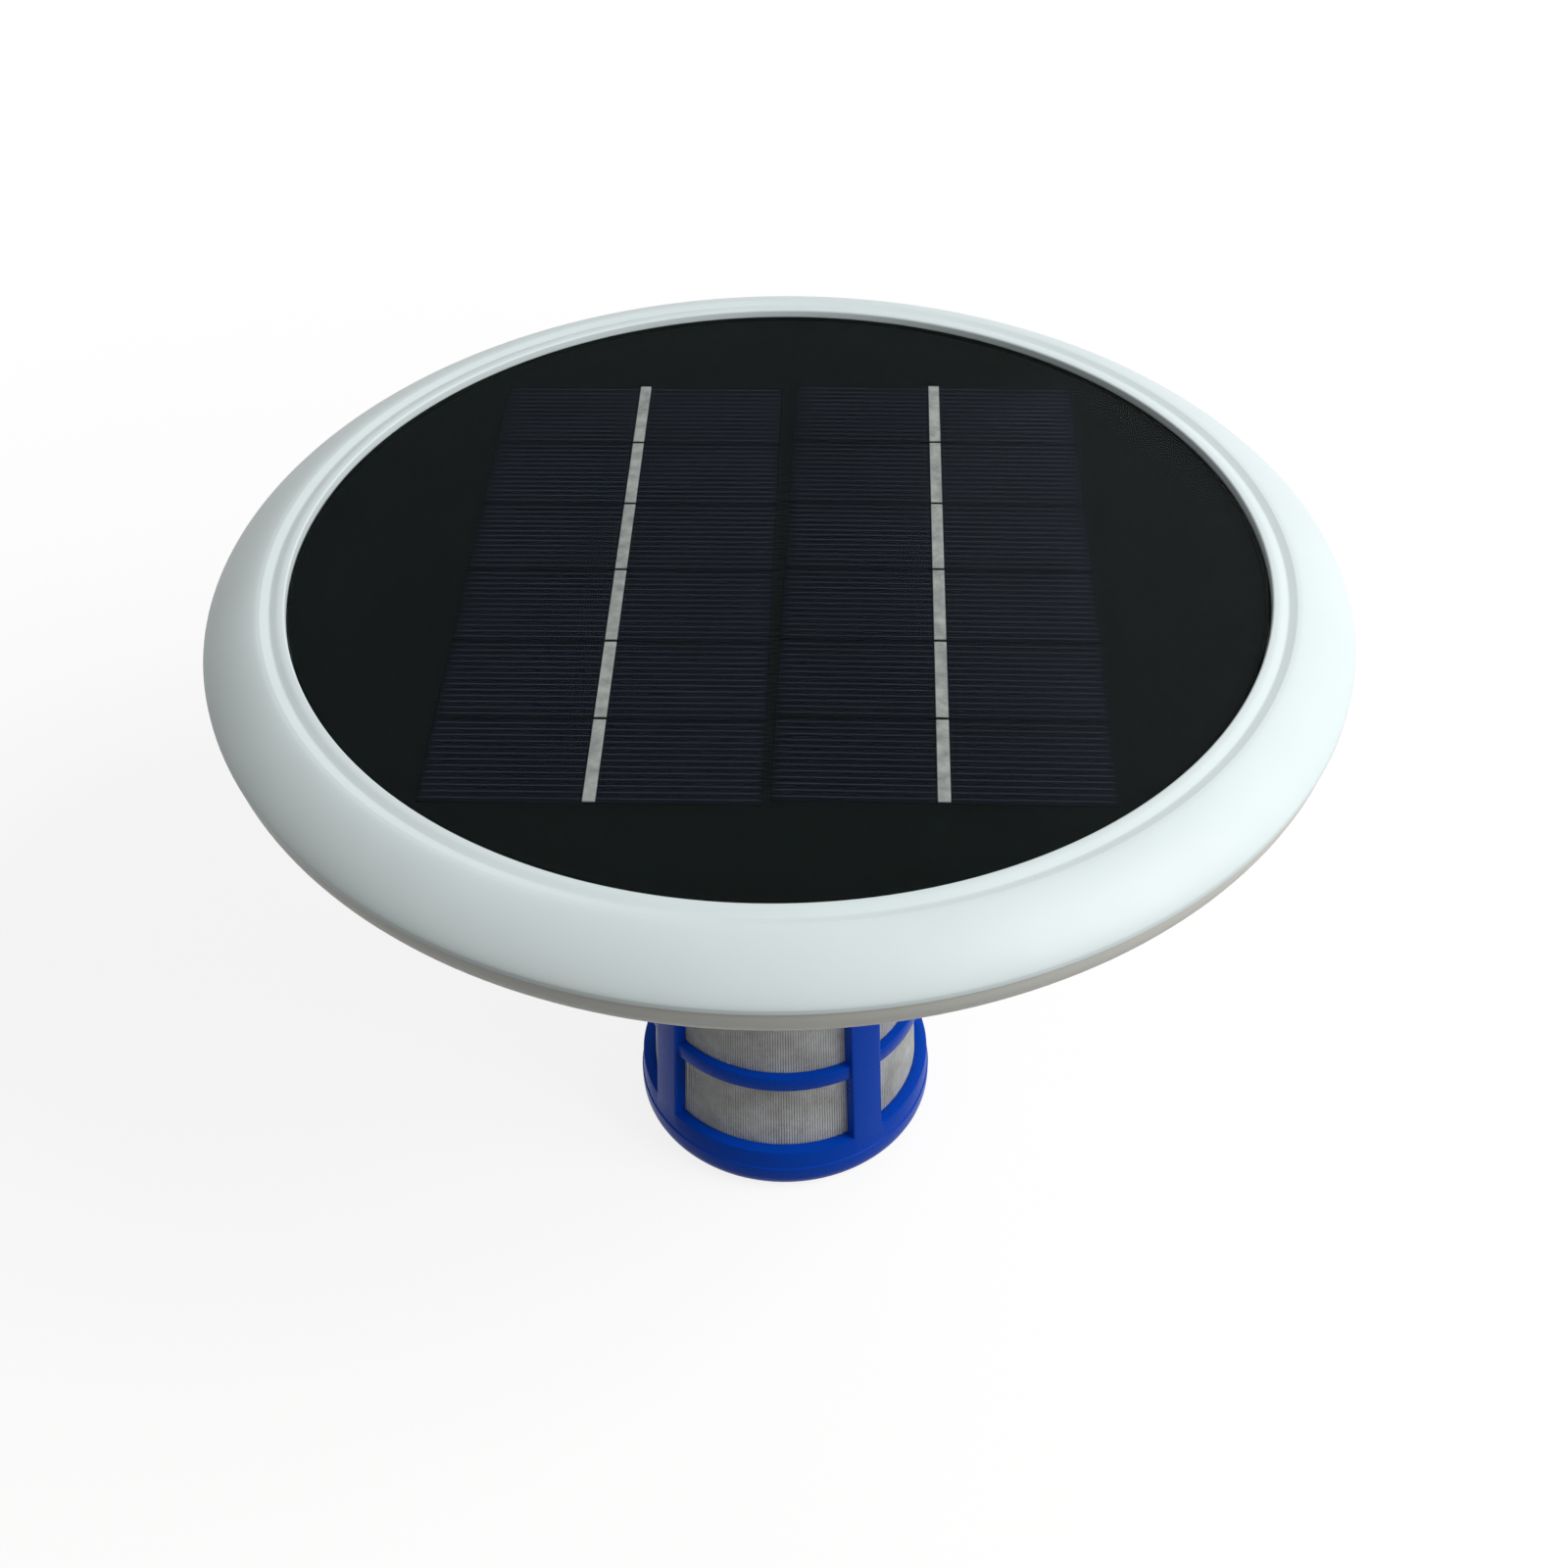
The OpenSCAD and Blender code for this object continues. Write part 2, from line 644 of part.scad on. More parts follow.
// Diode that keeps the current from flowing back at night
module blocking_diode() {
    leg_y = [diode_y - diode_len / 2 - lead_r * 2, diode_y + diode_len / 2 + lead_r * 2];
    leg_top = [strip_z, tab_z];
    color([0.12, 0.12, 0.12]) translate([wire_top_x, 0, 0]) {
        translate([0, diode_y - diode_len / 2, diode_z - lead_r]) rotate([-quarter_turn, 0, 0])
            cylinder(h = diode_len, r = diode_r);
        translate([0, leg_y[0], diode_z - lead_r]) rotate([-quarter_turn, 0, 0])
            cylinder(h = leg_y[1] - leg_y[0], r = lead_r);
        for (i = [0, 1])
            translate([0, leg_y[i], diode_z - 2 * lead_r])
                cylinder(h = leg_top[i] - diode_z + 2 * lead_r, r = lead_r);
    }
}

// A wire in an upright plane: straight out of its terminal's barrel, then hanging with some
// slack, and straight through the lid to its tab
module hanging_wire(low, low_z, top, bulge) {
    slack_z = low_z + barrel_len;
    along = (top - low) / norm(top - low);
    points = concat(
        [[low[0], low[1], low_z]],
        [for (i = [0:curve_steps])
            let (t = i / curve_steps,
                 p = low + (top - low) * (1 - cos(half_turn * t)) / 2
                     + along * bulge * (1 - cos(full_turn * t)) / 2)
                [p[0], p[1], slack_z + (lid_z - slack_z) * t]],
        [[top[0], top[1], tab_z]]);
    swept_tube(points, [for (p = points) [along[1], -along[0], 0]], wire_r, wire_sides);
}

// Distance of a terminal's barrel from its ring's middle
function barrel_reach(hole) = hole + ring_w + tail_len + barrel_r;

module red_wire() {
    color([0.75, 0.08, 0.07])
        hanging_wire([barrel_reach(stud_bore_r), 0], stud_ring_z + ring_t, [wire_top_x, 0], wire_slack);
}

module black_wire() {
    color([0.07, 0.07, 0.08])
        hanging_wire([-spring_r, barrel_reach(shank_r + pocket_gap)], plate_top_z + ring_t,
                     [-wire_top_x, 0], wire_slack / 2);
}

// A ring terminal on the Z axis whose barrel stands up from its tail, towards +X
module ring_terminal(z, hole) {
    reach = barrel_reach(hole);
    difference() {
        union() {
            translate([0, 0, z]) cylinder(h = ring_t, r = hole + ring_w);
            translate([0, -barrel_r, z]) cube([reach, 2 * barrel_r, ring_t]);
            translate([reach, 0, z]) cylinder(h = ring_t + barrel_len, r = barrel_r);
        }
        translate([0, 0, z - over]) cylinder(h = ring_t + 2 * over, r = hole);
        translate([reach, 0, z + ring_t]) cylinder(h = barrel_len + over, r = wire_r + pocket_gap);
    }
}

module anode_terminal() { color("tan") ring_terminal(stud_ring_z, stud_bore_r); }

module cathode_terminal() {
    color("tan") at_post() rotate([0, 0, quarter_turn]) ring_terminal(plate_top_z, shank_r + pocket_gap);
}

// Long stud that carries the anode and the basket
module anode_stud() {
    color("silver") translate([0, 0, stud_end_z]) cylinder(h = stud_top_z - stud_end_z, r = stud_r);
}

module stud_seal() {
    color("dimgray") ring(plate_top_z, seal_t, stud_bore_r + seal_t * 2, stud_bore_r);
}

module stud_nut() { color("silver") hex_nut(stud_nut_z, stud_nut_h, stud_nut_flats, stud_bore_r); }

module anode_seal() { color("dimgray") ring(anode_top_z, seal_t, anode_seal_r, stud_bore_r); }

// Copper block that gives off the ions
module anode() {
    color([0.72, 0.42, 0.27]) rotate_extrude() polygon([
        [stud_bore_r, anode_z], [anode_r - anode_bevel, anode_z], [anode_r, anode_z + anode_bevel],
        [anode_r, anode_top_z - anode_bevel], [anode_r - anode_bevel, anode_top_z],
        [stud_bore_r, anode_top_z]]);
}

module anode_washer() {
    color("silver") ring(anode_washer_z, anode_washer_t, anode_seal_r, stud_bore_r);
}

module anode_lock_nut() {
    color("silver") hex_nut(lock_nut_z, stud_nut_h, stud_nut_flats, stud_bore_r);
}

module at_post() { translate(spring_r * front_dir(post_turn)) children(); }

// Post that holds the spring and passes the current through the plate
module cathode_post() {
    color("silver") at_post() {
        translate([0, 0, post_z]) cylinder(h = post_len, r = post_r);
        translate([0, 0, post_top_z]) cylinder(h = shank_top_z - post_top_z, r = shank_r);
    }
}

module cathode_seal() {
    color("dimgray") at_post() ring(post_top_z, seal_t, post_r + seal_t / 2, shank_r + pocket_gap);
}

module cathode_nut() {
    color("silver") at_post() hex_nut(post_nut_z, post_nut_h, post_nut_flats, shank_r + pocket_gap);
}

// Path of the spring on its cylinder, as arc length and height: down from the post, round a
// bend into the coil, and out of the coil in a short straight end
spring_bend = bend_share * spring_wire;
spring_rings = 8;
bend_steps = 4;
turn_len = 2 * PI * spring_r;
coil_top_z = post_z - spring_wire - spring_bend;
spring_pitch = (coil_top_z - anode_z - spring_lift) / spring_turns;
spring_path = concat(
    [[0, post_z]],
    [for (i = [0:bend_steps])
        let (t = quarter_turn * i / bend_steps)
            [spring_bend * (1 - cos(t)), post_z - spring_wire - spring_bend * sin(t)]],
    [for (i = [1:spring_turns * spring_rings])
        [spring_bend + turn_len * i / spring_rings, coil_top_z - spring_pitch * i / spring_rings]]);
spring_angles = [for (p = spring_path) post_turn + full_turn * p[0] / turn_len];
spring_points = [for (i = [0:len(spring_path) - 1])
    spring_r * front_dir(spring_angles[i]) + [0, 0, spring_path[i][1]]];
spring_last = spring_points[len(spring_points) - 1];
spring_end = spring_last
    + spring_wire * [cos(spring_angles[len(spring_angles) - 1]), sin(spring_angles[len(spring_angles) - 1]), 0];
spring_line = concat(spring_points, [spring_end]);
spring_squares = [for (a = concat(spring_angles, [spring_angles[len(spring_angles) - 1]])) front_dir(a)];
spring_gap = min([for (i = [0:len(spring_line) - 1], j = [0:len(spring_line) - 1])
    if (j - i > spring_rings / 2 + bend_steps) norm(spring_line[i] - spring_line[j])]) - spring_wire;
echo("least gap of the spring to itself, mm", spring_gap);

// Steel spring round the anode, one unbroken wire
module cathode_spring() {
    color([0.75, 0.76, 0.78]) swept_tube(spring_line, spring_squares, spring_wire / 2, spring_sides);
}

// Blue cage: foot band, rings, ribs, collar and spoked floor
module basket_frame() {
    spoke_r = basket_r(floor_top_z) - spoke_share * basket_wall;
    color([0.02, 0.3, 0.72]) difference() {
        union() {
            rotate_extrude() frame_section();
            translate([0, 0, floor_z]) cylinder(h = floor_t, r = hub_r);
            at_turns(spoke_count) translate([-spoke_w / 2, -spoke_r, floor_z])
                cube([spoke_w, spoke_r - hub_r + spoke_w, floor_t]);
        }
        window_row(low_win_z, low_window_h);
        window_row(high_win_z, high_window_h);
        between_ribs(mid_ring_z, mid_ring_h) rotate_extrude() polygon([
            [basket_r(mid_ring_z) - mid_ring_step, mid_ring_z - over],
            [foot_r + over, mid_ring_z - over], [foot_r + over, high_win_z + over],
            [basket_r(high_win_z) - mid_ring_step, high_win_z + over]]);
        translate([0, 0, floor_z - over]) cylinder(h = floor_t + 2 * over, r = stud_hole_r);
    }
}

// Something repeated round the axis, starting at the first rib
module at_turns(count) {
    for (i = [0:count - 1]) rotate([0, 0, rib_turn_angle + full_turn * i / count]) children();
}

// Cutter over a height, which leaves the ribs standing
module between_ribs(z, h) {
    difference() {
        children();
        at_turns(rib_count) translate([-rib_w / 2, -foot_r - 2 * over, z - 2 * over])
            cube([rib_w, foot_r + 2 * over, h + 4 * over]);
    }
}

// Cutter for one row of windows
module window_row(z, h) {
    between_ribs(z, h) ring(z, h, foot_r + over, collar_r - over);
}

// Section of the cage: flat rim, rounded edge, foot band, fine step, tapering wall, collar,
// lap for the mesh and ledge of the floor
module frame_section() {
    inner_round = foot_round - basket_wall;
    rim_r = foot_r - foot_rim_w;
    polygon(concat(
        [[rim_r, 0]],
        [for (i = [0:edge_steps])
            let (t = quarter_turn * i / edge_steps)
                [foot_r - foot_round + foot_round * sin(t), foot_round - foot_round * cos(t)]],
        [[foot_r, foot_band_h], [basket_r(foot_band_h + band_step), foot_band_h + band_step],
         [basket_r(basket_h), basket_h], [collar_r, basket_h], [collar_r, collar_z],
         [basket_r(collar_z) - basket_wall, collar_z],
         [basket_r(floor_top_z) - basket_wall, floor_top_z],
         [basket_r(floor_top_z) - 2 * basket_wall, floor_top_z],
         [basket_r(floor_top_z) - 2 * basket_wall, floor_z],
         [foot_r - basket_wall, floor_z]],
        [for (i = [edge_steps:-1:0])
            let (t = quarter_turn * i / edge_steps)
                [foot_r - foot_round + inner_round * sin(t), foot_round - inner_round * cos(t)]],
        [[rim_r, basket_wall]]));
}

// Fine mesh in four curved panels, one behind each pair of windows
module side_mesh() {
    span = full_turn / rib_count;
    rib_angle = asin(rib_w / 2 / foot_r);
    low = floor_top_z + bond_gap;
    high = collar_z - bond_gap;
    low_r = basket_r(low) - basket_wall - bond_gap;
    high_r = basket_r(high) - basket_wall - bond_gap;
    color([0.72, 0.73, 0.72]) for (i = [0:rib_count - 1])
        rotate([0, 0, rib_turn_angle - quarter_turn + span * i + rib_angle / 2])
            rotate_extrude(angle = span - rib_angle)
                polygon([[low_r - mesh_t, low], [low_r, low], [high_r, high], [high_r - mesh_t, high]]);
}

// Fine mesh over the spoked floor
module floor_mesh() {
    rim = basket_r(floor_top_z + mesh_t) - basket_wall - mesh_t - 2 * bond_gap - pocket_gap;
    color([0.72, 0.73, 0.72]) ring(floor_top_z, mesh_t, rim, stud_hole_r);
}

module nut_washer() {
    color("silver") ring(knob_washer_z, knob_washer_t, knob_washer_r, stud_hole_r);
}

// Thumb nut under the basket, with scallops for the fingers and a pocket for its insert
module thumb_nut() {
    color([0.02, 0.24, 0.6]) difference() {
        translate([0, 0, knob_z]) cylinder(h = knob_h, r = knob_r);
        for (i = [0:scallop_count - 1])
            rotate([0, 0, full_turn * i / scallop_count])
                translate([knob_r + scallop_r - scallop_depth, 0, knob_z - over])
                    cylinder(h = knob_h + 2 * over, r = scallop_r);
        translate([0, 0, insert_z])
            cylinder(h = knob_h, r = hex_r(insert_flats) + pocket_gap, $fn = 6);
    }
}

// Threaded brass insert in the thumb nut
module nut_insert() {
    color("goldenrod") hex_nut(insert_z, knob_top_z - insert_z, insert_flats, stud_r + fit_gap);
}

upper_cover();
lower_shell();
seam_gasket();
shell_screws();
panel_board();
panel_sealant();
left_cells();
right_cells();
left_ribbons();
right_ribbons();
panel_laminate();
back_ribbons();
junction_box();
junction_lid();
solder_tabs();
blocking_diode();
red_wire();
black_wire();
anode_terminal();
cathode_terminal();
anode_stud();
stud_seal();
stud_nut();
anode_seal();
anode();
anode_washer();
anode_lock_nut();
cathode_post();
cathode_seal();
cathode_nut();
cathode_spring();
basket_frame();
side_mesh();
floor_mesh();
nut_washer();
thumb_nut();
nut_insert();
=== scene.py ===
import math
import bpy
from mathutils import Matrix, Vector


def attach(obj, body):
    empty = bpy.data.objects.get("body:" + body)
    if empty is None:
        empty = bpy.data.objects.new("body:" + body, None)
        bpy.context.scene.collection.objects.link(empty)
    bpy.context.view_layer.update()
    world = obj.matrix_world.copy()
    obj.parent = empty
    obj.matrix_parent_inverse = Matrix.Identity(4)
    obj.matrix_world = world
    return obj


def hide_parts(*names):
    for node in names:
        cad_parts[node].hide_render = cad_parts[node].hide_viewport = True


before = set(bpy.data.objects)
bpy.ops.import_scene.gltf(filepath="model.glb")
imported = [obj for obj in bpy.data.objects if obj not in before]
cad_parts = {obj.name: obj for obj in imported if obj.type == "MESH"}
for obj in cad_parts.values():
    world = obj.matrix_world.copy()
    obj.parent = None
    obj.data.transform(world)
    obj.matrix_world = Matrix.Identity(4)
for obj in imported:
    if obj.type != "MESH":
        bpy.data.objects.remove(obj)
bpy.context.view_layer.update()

MM = 0.001
FULL = 2 * math.pi

# Sizes in millimetres that several pieces share. Heights count up from the foot of the basket.
SEAM_Z = 132.0
SCREW_RING_R = 90.6
SCREW_PLACES = [(SCREW_RING_R * math.cos(FULL * i / 6), SCREW_RING_R * math.sin(FULL * i / 6))
                for i in range(6)]
FLANGE_R = 92.6
PANEL_R = 84.8
BOARD_TOP, CELL_TOP, PANEL_TOP = 138.1, 138.5, 139.0
PLATE_LOW, PLATE_TOP = 72.0, 75.0
SPIGOT_R, SPIGOT_BORE_R, SPIGOT_LOW = 24.88, 22.38, 58.0
CAGE_WALL = 2.5
COLLAR_R, COLLAR_LOW = 24.93, 55.5
WINDOW_ROWS = ((11.8, 29.5), (33.0, 53.5))
RIB_HALF_W = 3.5
STUD_HOLE_R = 3.1
ANODE_LOW, ANODE_TOP = 24.5, 70.5
SPRING_R, SPRING_WIRE, SPRING_TOP = 17.49, 1.8, 62.0

# The unit stands on the foot of its basket. The first rib stands 34 degrees from the front.
RIB_WAY = math.radians(34 - 90)
DRAFT = math.tan(math.radians(2.93))


def cage_r(z):
    """Outer radius of the basket's cage at a height above the foot."""
    return 30.65 - (z - 7) * DRAFT


# Working a piece

def only(piece):
    """Select one piece and make it the active one."""
    bpy.ops.object.select_all(action="DESELECT")
    piece.select_set(True)
    bpy.context.view_layer.objects.active = piece


def open_up(piece):
    """Start to edit a piece with nothing selected."""
    only(piece)
    bpy.ops.object.mode_set(mode="EDIT")
    bpy.ops.mesh.select_mode(type="VERT")
    bpy.ops.mesh.select_all(action="DESELECT")


def close_up():
    """End the editing of a piece."""
    bpy.ops.object.mode_set(mode="OBJECT")


def named(name):
    """The primitive that was just added, under its own name."""
    piece = bpy.context.object
    piece.name = piece.data.name = name
    return piece


def pick(piece, kind, wanted):
    """Select the faces or edges whose middle, in millimetres, is wanted, and go on editing."""
    close_up()
    mesh = piece.data
    bpy.context.tool_settings.mesh_select_mode = (False, kind == "EDGE", kind == "FACE")
    mesh.vertices.foreach_set("select", [False] * len(mesh.vertices))
    mesh.edges.foreach_set("select", [False] * len(mesh.edges))
    mesh.polygons.foreach_set("select", [False] * len(mesh.polygons))
    if kind == "FACE":
        for face in mesh.polygons:
            face.select = wanted(face.center / MM, face.normal)
    else:
        uses = {}
        for face in mesh.polygons:
            for key in face.edge_keys:
                uses[key] = uses.get(key, 0) + 1
        for edge in mesh.edges:
            a, b = (mesh.vertices[i].co for i in edge.vertices)
            edge.select = wanted((a + b) / 2 / MM, uses.get(edge.key, 0))
    bpy.ops.object.mode_set(mode="EDIT")


def tidy(piece):
    """Merge what lies in one place and turn all faces outwards."""
    open_up(piece)
    bpy.ops.mesh.select_all(action="SELECT")
    bpy.ops.mesh.remove_doubles(threshold=0.002 * MM)
    bpy.ops.mesh.normals_make_consistent(inside=False)
    close_up()


def settle(piece):
    """Bring a piece's place and turn into its mesh."""
    only(piece)
    bpy.ops.object.transform_apply(location=True, rotation=True, scale=True)


def apply(piece, kind, **settings):
    """Add a modifier with its settings and apply it."""
    only(piece)
    modifier = piece.modifiers.new(kind.title(), kind)
    for name, value in settings.items():
        setattr(modifier, name, value)
    bpy.ops.object.modifier_apply(modifier=modifier.name)


def carve(piece, tools, how="DIFFERENCE"):
    """Cut, join or trim a piece with others, which are used up."""
    tool = joined("tool", tools)
    apply(piece, "BOOLEAN", operation=how, solver="EXACT", object=tool)
    bpy.data.objects.remove(tool)
    tidy(piece)


def joined(name, parts):
    """Several parts as one piece."""
    bpy.ops.object.select_all(action="DESELECT")
    for part in parts:
        part.select_set(True)
    bpy.context.view_layer.objects.active = parts[0]
    if len(parts) > 1:
        bpy.ops.object.join()
    piece = parts[0]
    piece.name = piece.data.name = name
    return piece


def copied(piece, name, turn=0.0, shift=(0, 0, 0)):
    """A copy with its own mesh, turned about the unit's axis or shifted in millimetres."""
    twin = piece.copy()
    twin.data = piece.data.copy()
    twin.name = twin.data.name = name
    bpy.context.scene.collection.objects.link(twin)
    twin.data.transform(Matrix.Translation(Vector(shift) * MM) @ Matrix.Rotation(turn, 4, "Z"))
    return twin


def soften(piece, width, segments=2, angle=35):
    """Bevel every edge sharper than an angle."""
    apply(piece, "BEVEL", width=width * MM, segments=segments, limit_method="ANGLE",
          angle_limit=math.radians(angle), use_clamp_overlap=True)


# Outlines and turned pieces

def eased(points, steps=4):
    """A whole outline with rounded corners: a point is (radius, height) or (radius, height, rounding)."""
    line = []
    for i, (r, z, *rounding) in enumerate(points):
        corner = Vector((r, z))
        if not rounding:
            line.append((r, z))
            continue
        ease = rounding[0]
        back = (Vector(points[i - 1][:2]) - corner).normalized()
        on = (Vector(points[(i + 1) % len(points)][:2]) - corner).normalized()
        half = back.angle(on) / 2
        centre = corner + (back + on).normalized() * ease / math.sin(half)
        first = corner + back * ease / math.tan(half) - centre
        last = corner + on * ease / math.tan(half) - centre
        sweep = first.angle(last)
        for k in range(steps + 1):
            t = k / steps
            spoke = (first * math.sin((1 - t) * sweep) + last * math.sin(t * sweep)) / math.sin(sweep)
            line.append(tuple(centre + spoke))
    return line


def pull(a, b, c, t):
    """A point on the curve from a to c that is pulled towards b."""
    return tuple((1 - t) ** 2 * a[i] + 2 * t * (1 - t) * b[i] + t * t * c[i] for i in (0, 1))


def rim(top, low, steps):
    """The sloping rim, from its crest down to its widest circle."""
    turns = [math.pi / 2 * i / steps for i in range(steps + 1)]
    return [(top[0] + (low[0] - top[0]) * math.sin(t) ** 1.5,
             low[1] + (top[1] - low[1]) * max(0.0, math.cos(t)) ** 1.5) for t in turns]


def bowl(wall, steps):
    """The float's bowl from the seam to the shoulder, moved in by a wall."""
    steep, flat = math.radians(48.78), math.radians(24.98)
    top = (99.6 - wall, 132.0)
    edge = (97.8 - wall * math.sin(steep), 126.5 + wall * math.cos(steep))
    foot = (33.98 - wall * math.sin(flat), 80.0 + wall * math.cos(flat))
    bend = (top[0], edge[1] + (top[0] - edge[0]) * math.tan(steep))
    reach = (edge[1] - foot[1] - (edge[0] - foot[0]) * math.tan(flat)) / (math.tan(steep) - math.tan(flat))
    waist = (edge[0] - reach, edge[1] - reach * math.tan(steep))
    return ([pull(top, bend, edge, i / 8) for i in range(8)]
            + [pull(edge, waist, foot, i / steps) for i in range(steps + 1)])


def turned(name, outline, steps=96, way=0.0):
    """A piece turned from a closed outline of (radius, height) points in millimetres."""
    ring = list(outline) + [outline[0]]
    bpy.ops.object.select_all(action="DESELECT")
    bpy.ops.mesh.primitive_plane_add(size=MM, location=(0, 0, 0))
    piece = named(name)
    open_up(piece)
    bpy.ops.mesh.select_all(action="SELECT")
    bpy.ops.mesh.merge(type="CENTER")
    c, s = math.cos(way), math.sin(way)
    bpy.ops.transform.translate(value=(ring[0][0] * MM * c, ring[0][0] * MM * s, ring[0][1] * MM))
    for (r0, z0), (r1, z1) in zip(ring, ring[1:]):
        step = ((r1 - r0) * MM * c, (r1 - r0) * MM * s, (z1 - z0) * MM)
        bpy.ops.mesh.extrude_region_move(TRANSFORM_OT_translate={"value": step})
    bpy.ops.mesh.select_all(action="SELECT")
    bpy.ops.mesh.spin(steps=steps, angle=FULL, center=(0, 0, 0), axis=(0, 0, 1))
    close_up()
    tidy(piece)
    return piece


def rod(name, radius, low, high, x=0.0, y=0.0, sides=32):
    """An upright rod, used to cut or to join."""
    bpy.ops.object.select_all(action="DESELECT")
    bpy.ops.mesh.primitive_cylinder_add(vertices=sides, radius=radius * MM, depth=(high - low) * MM,
                                        location=(x * MM, y * MM, (low + high) / 2 * MM))
    piece = named(name)
    settle(piece)
    return piece


def slab(name, low, high, way=0.0):
    """A block between two corners, turned about the unit's axis."""
    low, high = Vector(low) * MM, Vector(high) * MM
    bpy.ops.object.select_all(action="DESELECT")
    bpy.ops.mesh.primitive_cube_add(size=1, location=(low + high) / 2, scale=high - low)
    piece = named(name)
    settle(piece)
    piece.data.transform(Matrix.Rotation(way, 4, "Z"))
    return piece


def drawn(name, points, radius, sides=4):
    """A round wire along points in millimetres."""
    bpy.ops.object.select_all(action="DESELECT")
    bpy.ops.mesh.primitive_plane_add(size=MM, location=(0, 0, 0))
    piece = named(name)
    open_up(piece)
    bpy.ops.mesh.select_all(action="SELECT")
    bpy.ops.mesh.merge(type="CENTER")
    bpy.ops.transform.translate(value=Vector(points[0]) * MM)
    for a, b in zip(points, points[1:]):
        bpy.ops.mesh.extrude_region_move(
            TRANSFORM_OT_translate={"value": (Vector(b) - Vector(a)) * MM})
    close_up()
    only(piece)
    bpy.ops.object.convert(target="CURVE")
    piece = bpy.context.object
    piece.data.bevel_depth = radius * MM
    piece.data.bevel_resolution = sides
    piece.data.use_fill_caps = True
    bpy.ops.object.convert(target="MESH")
    piece = bpy.context.object
    piece.name = piece.data.name = name
    tidy(piece)
    return piece


# Effects and finishes

def link(tree, a, b):
    """Join an output socket to an input socket."""
    tree.links.new(a, b)


def new_effect(name, inputs, outputs):
    """A node group with named inputs and outputs, and its two end nodes."""
    tree = bpy.data.node_groups.new(name, "ShaderNodeTree")
    for label, kind, value in inputs:
        socket = tree.interface.new_socket(label, in_out="INPUT", socket_type=kind)
        socket.default_value = value
    for label, kind in outputs:
        tree.interface.new_socket(label, in_out="OUTPUT", socket_type=kind)
    return tree, tree.nodes.new("NodeGroupInput"), tree.nodes.new("NodeGroupOutput")


def noise(tree, where, size, detail=4.0, rough=0.55):
    """Noise whose patches are about a size in millimetres across."""
    node = tree.nodes.new("ShaderNodeTexNoise")
    node.inputs["Scale"].default_value = 1 / (size * MM)
    node.inputs["Detail"].default_value = detail
    node.inputs["Roughness"].default_value = rough
    link(tree, where, node.inputs["Vector"])
    return node.outputs["Fac"]


def sums(tree, how, a, b):
    """Two values, or two sockets, worked into one."""
    node = tree.nodes.new("ShaderNodeMath")
    node.operation = how
    for socket, value in zip(node.inputs, (a, b)):
        if isinstance(value, (int, float)):
            socket.default_value = value
        else:
            link(tree, value, socket)
    return node.outputs[0]


def ranged(tree, value, low, high, to_low, to_high):
    """A value moved from one range to another."""
    node = tree.nodes.new("ShaderNodeMapRange")
    for label, number in (("From Min", low), ("From Max", high), ("To Min", to_low), ("To Max", to_high)):
        if isinstance(number, (int, float)):
            node.inputs[label].default_value = number
        else:
            link(tree, number, node.inputs[label])
    link(tree, value, node.inputs["Value"])
    return node.outputs["Result"]


def seen_rays(tree):
    """One for the rays that show the picture or its reflections, and nought for the light that falls."""
    rays = tree.nodes.new("ShaderNodeLightPath")
    seen = sums(tree, "MAXIMUM", rays.outputs["Is Camera Ray"], rays.outputs["Is Glossy Ray"])
    return sums(tree, "MAXIMUM", seen, rays.outputs["Is Transmission Ray"])


def mixed(tree, share, a, b):
    """Two colours mixed by a share."""
    node = tree.nodes.new("ShaderNodeMix")
    node.data_type = "RGBA"
    for socket, value in ((node.inputs["Factor"], share), (node.inputs["A"], a), (node.inputs["B"], b)):
        if isinstance(value, (int, float, tuple)):
            socket.default_value = value
        else:
            link(tree, value, socket)
    return node.outputs["Result"]


def make_moulded():
    """Moulded plastic: slow drift of tone, fine orange peel, and faint handling scuffs."""
    tree, start, end = new_effect(
        "moulded skin",
        [("Colour", "NodeSocketColor", (1, 1, 1, 1)), ("Drift", "NodeSocketFloat", 0.05),
         ("Gloss low", "NodeSocketFloat", 0.25), ("Gloss high", "NodeSocketFloat", 0.4)],
        [("Colour", "NodeSocketColor"), ("Roughness", "NodeSocketFloat"), ("Height", "NodeSocketFloat")])
    where = tree.nodes.new("ShaderNodeTexCoord").outputs["Object"]
    drift = noise(tree, where, 28.0, 3.0)
    fine = noise(tree, where, 1.1, 4.0, 0.6)
    scuff = noise(tree, where, 3.5, 8.0, 0.72)
    shade = sums(tree, "MULTIPLY", ranged(tree, drift, 0.3, 0.7, 0.0, 1.0), start.outputs["Drift"])
    colour = mixed(tree, shade, start.outputs["Colour"], (0.0, 0.0, 0.0, 1.0))
    worn = ranged(tree, scuff, 0.52, 0.74, 0.0, 1.0)
    link(tree, colour, end.inputs["Colour"])
    link(tree, ranged(tree, sums(tree, "MAXIMUM", worn, fine), 0.25, 0.95,
                      start.outputs["Gloss low"], start.outputs["Gloss high"]), end.inputs["Roughness"])
    link(tree, sums(tree, "ADD", fine, sums(tree, "MULTIPLY", scuff, 0.35)), end.inputs["Height"])
    return tree


